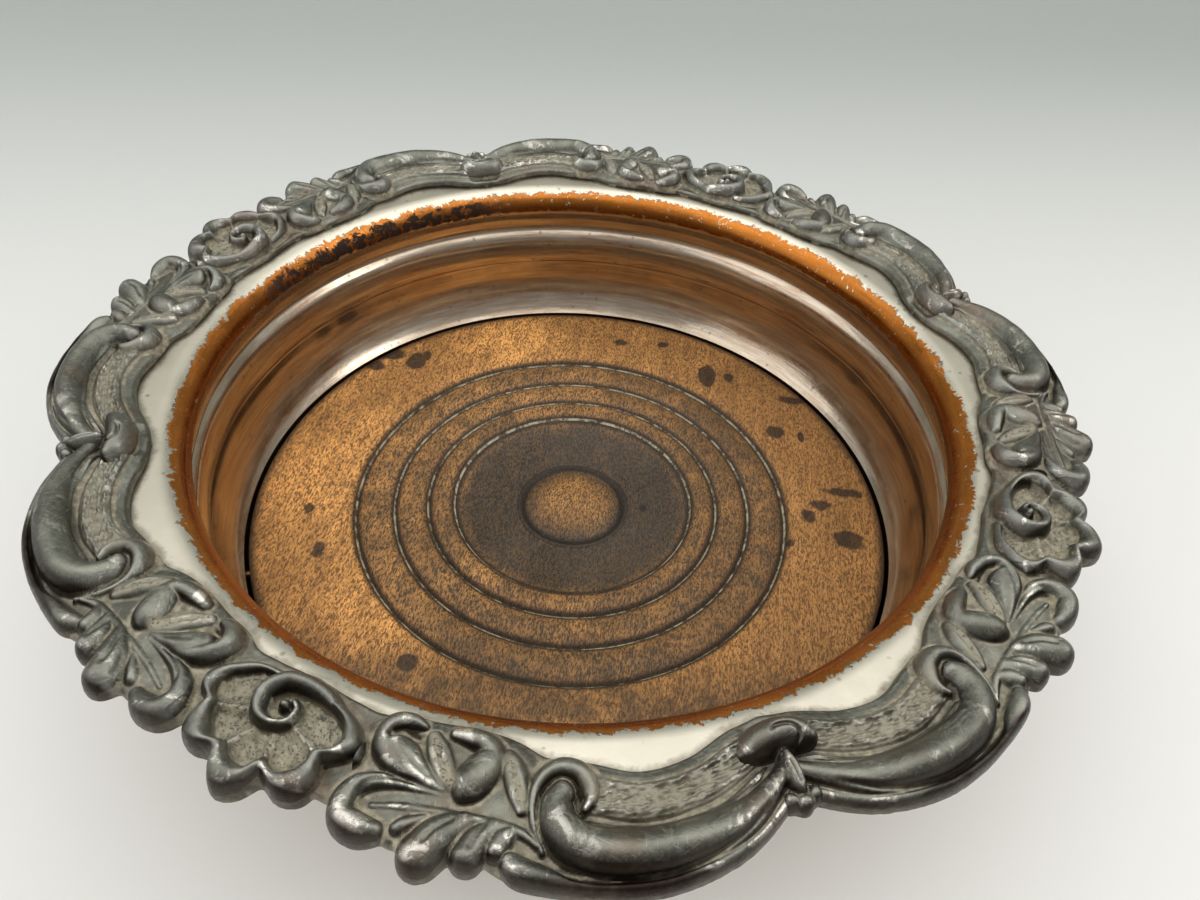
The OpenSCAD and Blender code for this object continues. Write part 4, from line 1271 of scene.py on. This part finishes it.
def cloth_material(finish):
    """Short-napped green cloth with worn, paler patches."""
    material, s, surface = new_material("Green baize", Sheen_Weight=0.35, Sheen_Roughness=0.5)
    place = s.millimetres()
    nap = s.noise(place, 3.2, 4, 0.7)
    weave = s.noise(s.millimetres(stretch=(1, 0.2, 1)), 2.6, 2, 0.6)
    worn = s.span(s.noise(place, 0.06, 5, 0.65, 0.4), 0.45, 0.75)
    tone = s.mix(nap, toned(finish.cloth, 0.6), toned(finish.cloth, 1.6))
    tone = s.over(tone, WORN_CLOTH, worn, 0.5)
    s.feed(surface["Base Color"], tone)
    s.feed(surface["Roughness"], s.blend(nap, 0.85, 1.0))
    s.feed(surface["Normal"], s.bump(s.plus(nap, s.times(weave, 0.5)), 0.8, 0.0002))
    return material


def brass_material(finish, groups):
    """Dull brass of the little pins."""
    material, s, surface = new_material("Old brass", Metallic=1.0)
    place = s.millimetres()
    patches = s.group(groups["tarnish"], Place=place, Amount=0.8)
    s.feed(surface["Base Color"], s.mix(patches["Mask"], finish.brass, BROWN_BRASS))
    s.feed(surface["Roughness"], s.span(s.noise(place, 1.5, 4), 0.3, 0.7, 0.3, 0.5))
    s.feed(surface["Normal"], s.bump(s.noise(place, 3.0, 3), 0.3, 0.00005))
    return material


def paper_material(stage):
    """Plain pale paper with a very soft mottle, and painted shade that makes it greyer towards the back."""
    material, s, surface = new_material("Pale paper")
    place = s.millimetres()
    x, y, _ = s.split(place)
    away = s.minus(y, s.times(x, 0.15))
    back = s.mix(s.span(away, *PAPER_SHADE), stage.paper, stage.paper_far)
    mottle = s.span(s.noise(place, 0.01, 3), 0.3, 0.7, 0.0, 0.03)
    s.feed(surface["Base Color"], s.mix(mottle, back, MOTTLE_GREY))
    s.feed(surface["Roughness"], s.span(s.noise(place, 0.2, 3), 0.3, 0.7, 0.7, 0.8))
    s.feed(surface["Normal"], s.bump(s.noise(place, 0.8, 4), 0.05, 0.0002))
    return material


def shared_groups():
    """The effects that more than one finish uses, made once."""
    return {
        "scratches": bpy.data.node_groups.get("Fine scratches") or scratches_group(),
        "tarnish": bpy.data.node_groups.get("Patchy tarnish") or tarnish_group(),
    }


# Operators


class CoasterOperator:
    bl_options = {"REGISTER", "UNDO"}

    def execute(self, context):
        self.make(*(getattr(context.scene, group) for group in GROUPS))
        deselect()
        return {"FINISHED"}


class COASTER_OT_stage(CoasterOperator, bpy.types.Operator):
    """Lay out the paper floor and backdrop, the lamps and the camera"""

    bl_idname = "coaster.stage"
    bl_label = "Stage"

    def make(self, cup, base, border, finish, stage):
        self.lay_paper(stage)
        self.light_room()
        for name, at, size, share, tint in LAMPS:
            data = bpy.data.lights.new(name, "AREA")
            data.shape, data.size = "DISK", size
            data.energy, data.color = stage.key * share, tint
            lamp = bpy.data.objects.new(name, data)
            lamp.location = at
            lamp.rotation_euler = (Vector(at) - Vector((0, 0, 0.03))).to_track_quat("Z", "Y").to_euler()
            bpy.context.scene.collection.objects.link(lamp)
        self.set_camera(stage)

    def lay_paper(self, stage):
        deselect()
        bpy.ops.mesh.primitive_plane_add(size=2, location=(0, -0.55, 0))
        paper = named("paper_sweep")
        bpy.ops.object.transform_apply(location=True)
        bpy.ops.object.mode_set(mode="EDIT")
        bpy.ops.mesh.select_mode(type="EDGE")
        bpy.ops.mesh.select_all(action="DESELECT")
        bpy.ops.object.mode_set(mode="OBJECT")
        for edge in paper.data.edges:
            edge.select = all(paper.data.vertices[v].co.y > 0 for v in edge.vertices)
        bpy.ops.object.mode_set(mode="EDIT")
        for step in PAPER_STEPS:
            bpy.ops.mesh.extrude_edges_move(TRANSFORM_OT_translate={"value": step})
        bpy.ops.object.mode_set(mode="OBJECT")
        bend = paper.modifiers.new("bend", "BEVEL")
        bend.width, bend.segments = PAPER_BEND, 16
        bend.limit_method, bend.angle_limit = "ANGLE", math.radians(40)
        apply_modifiers(paper)
        bpy.ops.object.shade_smooth_by_angle(angle=math.radians(60))
        paper.data.materials.append(paper_material(stage))

    def light_room(self):
        world = bpy.data.worlds.new("Soft room")
        bpy.context.scene.world = world
        world.use_nodes = True
        s = Shader(world.node_tree)
        background = world.node_tree.nodes["Background"]
        _, ahead, up = s.split(s.node("ShaderNodeTexCoord").outputs["Generated"])
        room = s.mix(s.span(up, -0.1, 0.55), *ROOM)
        room = s.mix(s.span(ahead, 0.15, -0.75), room, s.mix(s.span(up, 0.0, 0.8), *ROOM_BEHIND))
        s.feed(background.inputs["Color"], room)
        background.inputs["Strength"].default_value = 0.75

    def set_camera(self, stage):
        eye, aim = Vector(stage.eye), Vector(stage.aim)
        ahead = (aim - eye).normalized()
        right = ahead.cross(Vector((0, 0, 1))).normalized()
        up_way = right.cross(ahead)
        c, t = math.cos(stage.roll), math.sin(stage.roll)
        right, up_way = c * right + t * up_way, c * up_way - t * right
        data = bpy.data.cameras.new("camera")
        data.lens, data.sensor_width = stage.lens, 36
        data.clip_start, data.clip_end = 0.005, 20
        camera = bpy.data.objects.new("camera", data)
        camera.matrix_world = Matrix.Translation(eye) @ Matrix((right, up_way, -ahead)).transposed().to_4x4()
        bpy.context.scene.collection.objects.link(camera)
        bpy.context.scene.camera = camera
        bpy.context.scene.view_settings.view_transform = "Standard"


class COASTER_OT_cup(CoasterOperator, bpy.types.Operator):
    """Turn the plated wall with its rolled lip and scalloped flange, and the foot wire"""

    bl_idname = "coaster.cup"
    bl_label = "Cup"

    def make(self, cup, base, border, finish, stage):
        groups = shared_groups()
        wall = self.turn_wall(cup, base, border)
        finish_piece(wall, wall_material(finish, groups), ["gallery_wall"], 35)

        foot_r, foot_z = cup.well + cup.sheet, base.cloth - cup.sheet + cup.foot_bend
        line = [
            (foot_r + cup.wire_width * math.cos(t), foot_z + cup.wire_height / 2 * (1 + math.sin(t)))
            for t in np.linspace(-math.pi / 2, math.pi / 2, 13)
        ]
        wire = turned("silver_foot_wire", line)
        close_holes(wire, bridge=True)
        finish_piece(wire, wire_material(finish, groups), ["foot_wire"])

    def turn_wall(self, cup, base, border):
        height, bend = cup.flange - cup.floor, cup.foot_bend
        bend_r, bend_z = cup.well - bend, base.cloth + bend
        line = [(cup.well - cup.foot_lip, base.cloth)]
        line += [(bend_r + bend * math.sin(t), bend_z - bend * math.cos(t)) for t in quarter_turn(7)]
        line += [(cup.well, (bend_z + cup.floor) / 2)]
        for rows in (BELLY, NECK, SHOULDER):
            line += [(cup.well + p[0] * cup.swell, cup.floor + p[1] * height) for p in smooth_line(rows, 6)]
        roll_r, roll_z = cup.well + cup.mouth + cup.roll, cup.flange - cup.roll
        line += [(roll_r - cup.roll * math.cos(t), roll_z + cup.roll * math.sin(t)) for t in quarter_turn(22)]
        # The flange's rings start close together, and are then spread out to its scalloped edge
        flat_rings, ring_gap = 16, 0.0005
        line += [(roll_r + ring_gap * (i + 1), cup.flange) for i in range(flat_rings)]
        wall = turned("silver_gallery_wall", line, WALL_STEPS)
        x, y, z = coordinates(wall).T
        turn, radius = np.arctan2(y, x), np.hypot(x, y)
        share = (turn - border.first_knot) / HALF_REPEAT
        turned_back = np.abs((share + 1) % 2 - 1)
        edge = border.inner + border.width * curve(GROUND_OUT, turned_back) - border.flange_inset
        outer = radius > roll_r + ring_gap / 2
        grow = np.clip((radius - roll_r) / (ring_gap * flat_rings), 0, 1)
        radius = np.where(outer, roll_r + (edge - roll_r) * grow, radius)
        # The sheet's waves start above the floor and end at the lip
        body, start_height = (radius < roll_r - cup.sheet) & (z > cup.floor), 0.004
        wave = sum(rise * np.sin(count * turn + climb * z + start) for rise, count, climb, start in WAVES)
        radius = radius + np.where(body, wave * np.clip((z - cup.floor) / start_height, 0, 1), 0)
        set_coordinates(wall, np.stack([radius * np.cos(turn), radius * np.sin(turn), z], 1))
        # Distance from the border's ground, in millimetres, for the grime and the painted shadow beside it
        inner_edge = border.inner + border.width * curve(GROUND_IN, turned_back)
        beside = wall.data.attributes.new("beside", "FLOAT", "POINT")
        beside.data.foreach_set("value", ((inner_edge - radius) * 1000).astype(np.float32))
        choose(wall)
        bpy.ops.object.mode_set(mode="EDIT")
        bpy.ops.mesh.select_all(action="SELECT")
        bpy.ops.mesh.normals_make_consistent(inside=False)
        bpy.ops.object.mode_set(mode="OBJECT")
        # A face at the belly shows which way the sheet faces
        middle = wall.data.polygons[WALL_STEPS * 20]
        inward = middle.normal.xy.dot(middle.center.xy) < 0
        sheet = wall.modifiers.new("sheet", "SOLIDIFY")
        sheet.thickness, sheet.offset, sheet.use_even_offset = cup.sheet, -1 if inward else 1, True
        apply_modifiers(wall)
        close_holes(wall)
        return wall


class COASTER_OT_base(CoasterOperator, bpy.types.Operator):
    """Turn the wooden base, lay the cloth under it and finish the pins"""

    bl_idname = "coaster.base"
    bl_label = "Base"

    def make(self, cup, base, border, finish, stage):
        wood = self.turn_wood(cup, base)
        finish_piece(wood, wood_material(finish, base), ["wooden_base"], 40)
        cloth = self.cut_cloth(base)
        finish_piece(cloth, cloth_material(finish), ["baize_pad"])
        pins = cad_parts["base_pins"]
        pins.data.materials.clear()
        pins.data.materials.append(brass_material(finish, shared_groups()))

    def turn_wood(self, cup, base):
        top, depth, hollow_z = cup.floor, base.groove_depth, cup.floor - base.hollow
        ring, wide = base.boss_radius, base.ring_width
        line = [(TINY, hollow_z + base.boss_height)]
        line += [
            (ring * t, hollow_z + base.boss_height * math.cos(t * math.pi / 2))
            for t in np.linspace(0.08, 0.93, 14)
        ]
        # A little ring stands at the foot of the boss
        line += [(ring * 0.97, hollow_z - base.ring_sink)]
        line += [
            (ring + wide * t, hollow_z + base.ring_height * math.sin(t * math.pi) ** 0.7)
            for t in np.linspace(0, 1, 7)
        ]
        hollow_r, rise = base.grooves[3] - ring - wide, base.hollow - depth
        for t in np.linspace(0, 1, 18)[1:]:
            line.append((ring + wide + hollow_r * t, top - (depth + rise * math.cos(t * math.pi / 2) ** 0.8)))
        marks = [*base.grooves]
        for out, into in ((marks[2], marks[3]), (marks[1], marks[2]), (marks[0], marks[1])):
            for t in np.linspace(0, 1, 19)[1:]:
                line.append((into + (out - into) * t, top - depth * (1 - math.sin(math.pi * t) ** 0.6)))
        line += [(marks[0] + depth * t, top - depth * (1 - t) ** 1.5) for t in (0.3, 0.6, 0.85, 1)]
        line += [(marks[0] + (base.radius - marks[0]) * t, top) for t in (0.3, 0.6, 0.9)]
        outer, soft = base.radius, base.edge_round
        line += [(outer - soft * (1 - math.sin(t)), top - soft * (1 - math.cos(t))) for t in quarter_turn(5)]
        line += [(outer, base.cloth + cup.foot_bend), (outer - cup.foot_bend, base.cloth)]
        line += [(base.radius * t, base.cloth) for t in (0.6, 0.3)] + [(TINY, base.cloth)]
        wood = turned("turned_wooden_base", line)
        close_holes(wood)
        return wood

    def cut_cloth(self, base):
        r, t, steps = base.cloth_radius, base.cloth, 180
        # Its middle lifts a little from the table, and its top stays just clear of the wood
        lift, gap, edge = 0.0001, 0.00002, 0.0004
        line = [(TINY, lift)] + [(r * share, lift * (1 - share)) for share in (0.25, 0.5, 0.75, 0.95)]
        line += [(r - edge, 0), (r, edge), (r, t - edge), (r - edge, t - gap)]
        line += [(r * share, t - gap) for share in (0.75, 0.5, 0.25)] + [(TINY, t - gap)]
        cloth = turned("green_baize_cloth", line, steps)
        close_holes(cloth)
        # Its cut edge is a little nibbled
        co = coordinates(cloth)
        turn = np.arctan2(co[:, 1], co[:, 0])
        frayed = np.hypot(co[:, 0], co[:, 1]) > r * 0.98
        dice, nibble_share = np.random.default_rng(4).uniform(-1, 1, steps), 0.0022
        nibble = np.abs(np.interp(turn, np.linspace(-math.pi, math.pi, steps), dice))
        shrink = 1 - np.where(frayed, nibble_share * nibble, 0)
        set_coordinates(cloth, co * np.stack([shrink, shrink, np.ones(len(co))], 1))
        return cloth


class COASTER_OT_border(CoasterOperator, bpy.types.Operator):
    """Model the scrolls, leaf sprays, shells and knots of the border, and set them round the flange"""

    bl_idname = "coaster.border"
    bl_label = "Border"

    def make(self, cup, base, border, finish, stage):
        plate = border_material(finish, shared_groups())
        z = cup.flange
        ground_share = border.ground / border.relief
        strip = StripMap(
            (-0.05, -0.08), ((2.05 - LEAF_END) / STRIP_SHARE, 1.05),
            lambda points: join(ground_share, pattern_rise(points), 0.05), pattern_pits,
        )
        masters = {
            "scroll": relief_mount(border, strip, "master_scroll", 0, SCROLL_END, 140, 100, z),
            "leaf": relief_mount(border, strip, "master_leaf", SCROLL_END, LEAF_END, 110, 104, z),
            "shell": relief_mount(border, strip, "master_shell", LEAF_END, 2 - LEAF_END, 130, 110, z),
            "knot": knot_piece(border, "master_knot", z),
        }
        for master in masters.values():
            close_holes(master)
        for q in QUARTERS:
            turn = border.first_knot + (q - 1) * math.pi / 2
            for kind in ("knot", "shell"):
                piece = place_copy(masters[kind], f"relief_{kind}_{q}", turn)
                finish_piece(piece, plate, [f"{kind}_mount_{q}"])
            for kind in ("scroll", "leaf"):
                for side in SIDES:
                    piece = place_copy(masters[kind], f"relief_{kind}_{q}_{side}", turn, side == "right")
                    finish_piece(piece, plate, [f"{kind}_mount_{q}_{side}"])
        for master in masters.values():
            bpy.data.objects.remove(master)


class COASTER_PT_panel(bpy.types.Panel):
    """Sizes, colours and steps of the coaster"""

    bl_label = "Coaster"
    bl_idname = "COASTER_PT_panel"
    bl_space_type = "VIEW_3D"
    bl_region_type = "UI"
    bl_category = "Coaster"

    def draw(self, context):
        for group in GROUPS:
            box = self.layout.box()
            settings = getattr(context.scene, group)
            for key in settings.__annotations__:
                box.prop(settings, key)
        for operator in OPERATORS:
            self.layout.operator(operator.bl_idname)


GROUPS = {
    "coaster_cup": CoasterCup,
    "coaster_base": CoasterBase,
    "coaster_border": CoasterBorder,
    "coaster_finish": CoasterFinish,
    "coaster_stage": CoasterStage,
}
OPERATORS = (COASTER_OT_stage, COASTER_OT_cup, COASTER_OT_base, COASTER_OT_border)
CLASSES = (*GROUPS.values(), *OPERATORS, COASTER_PT_panel)


def register():
    for cls in CLASSES:
        bpy.utils.register_class(cls)
    for name, cls in GROUPS.items():
        setattr(bpy.types.Scene, name, PointerProperty(type=cls))


def unregister():
    for name in GROUPS:
        delattr(bpy.types.Scene, name)
    for cls in reversed(CLASSES):
        bpy.utils.unregister_class(cls)


def main():
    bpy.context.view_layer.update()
    register()
    bpy.ops.coaster.stage()
    bpy.ops.coaster.cup()
    bpy.ops.coaster.base()
    bpy.ops.coaster.border()
    bpy.context.view_layer.update()


if __name__ == "__main__":
    main()
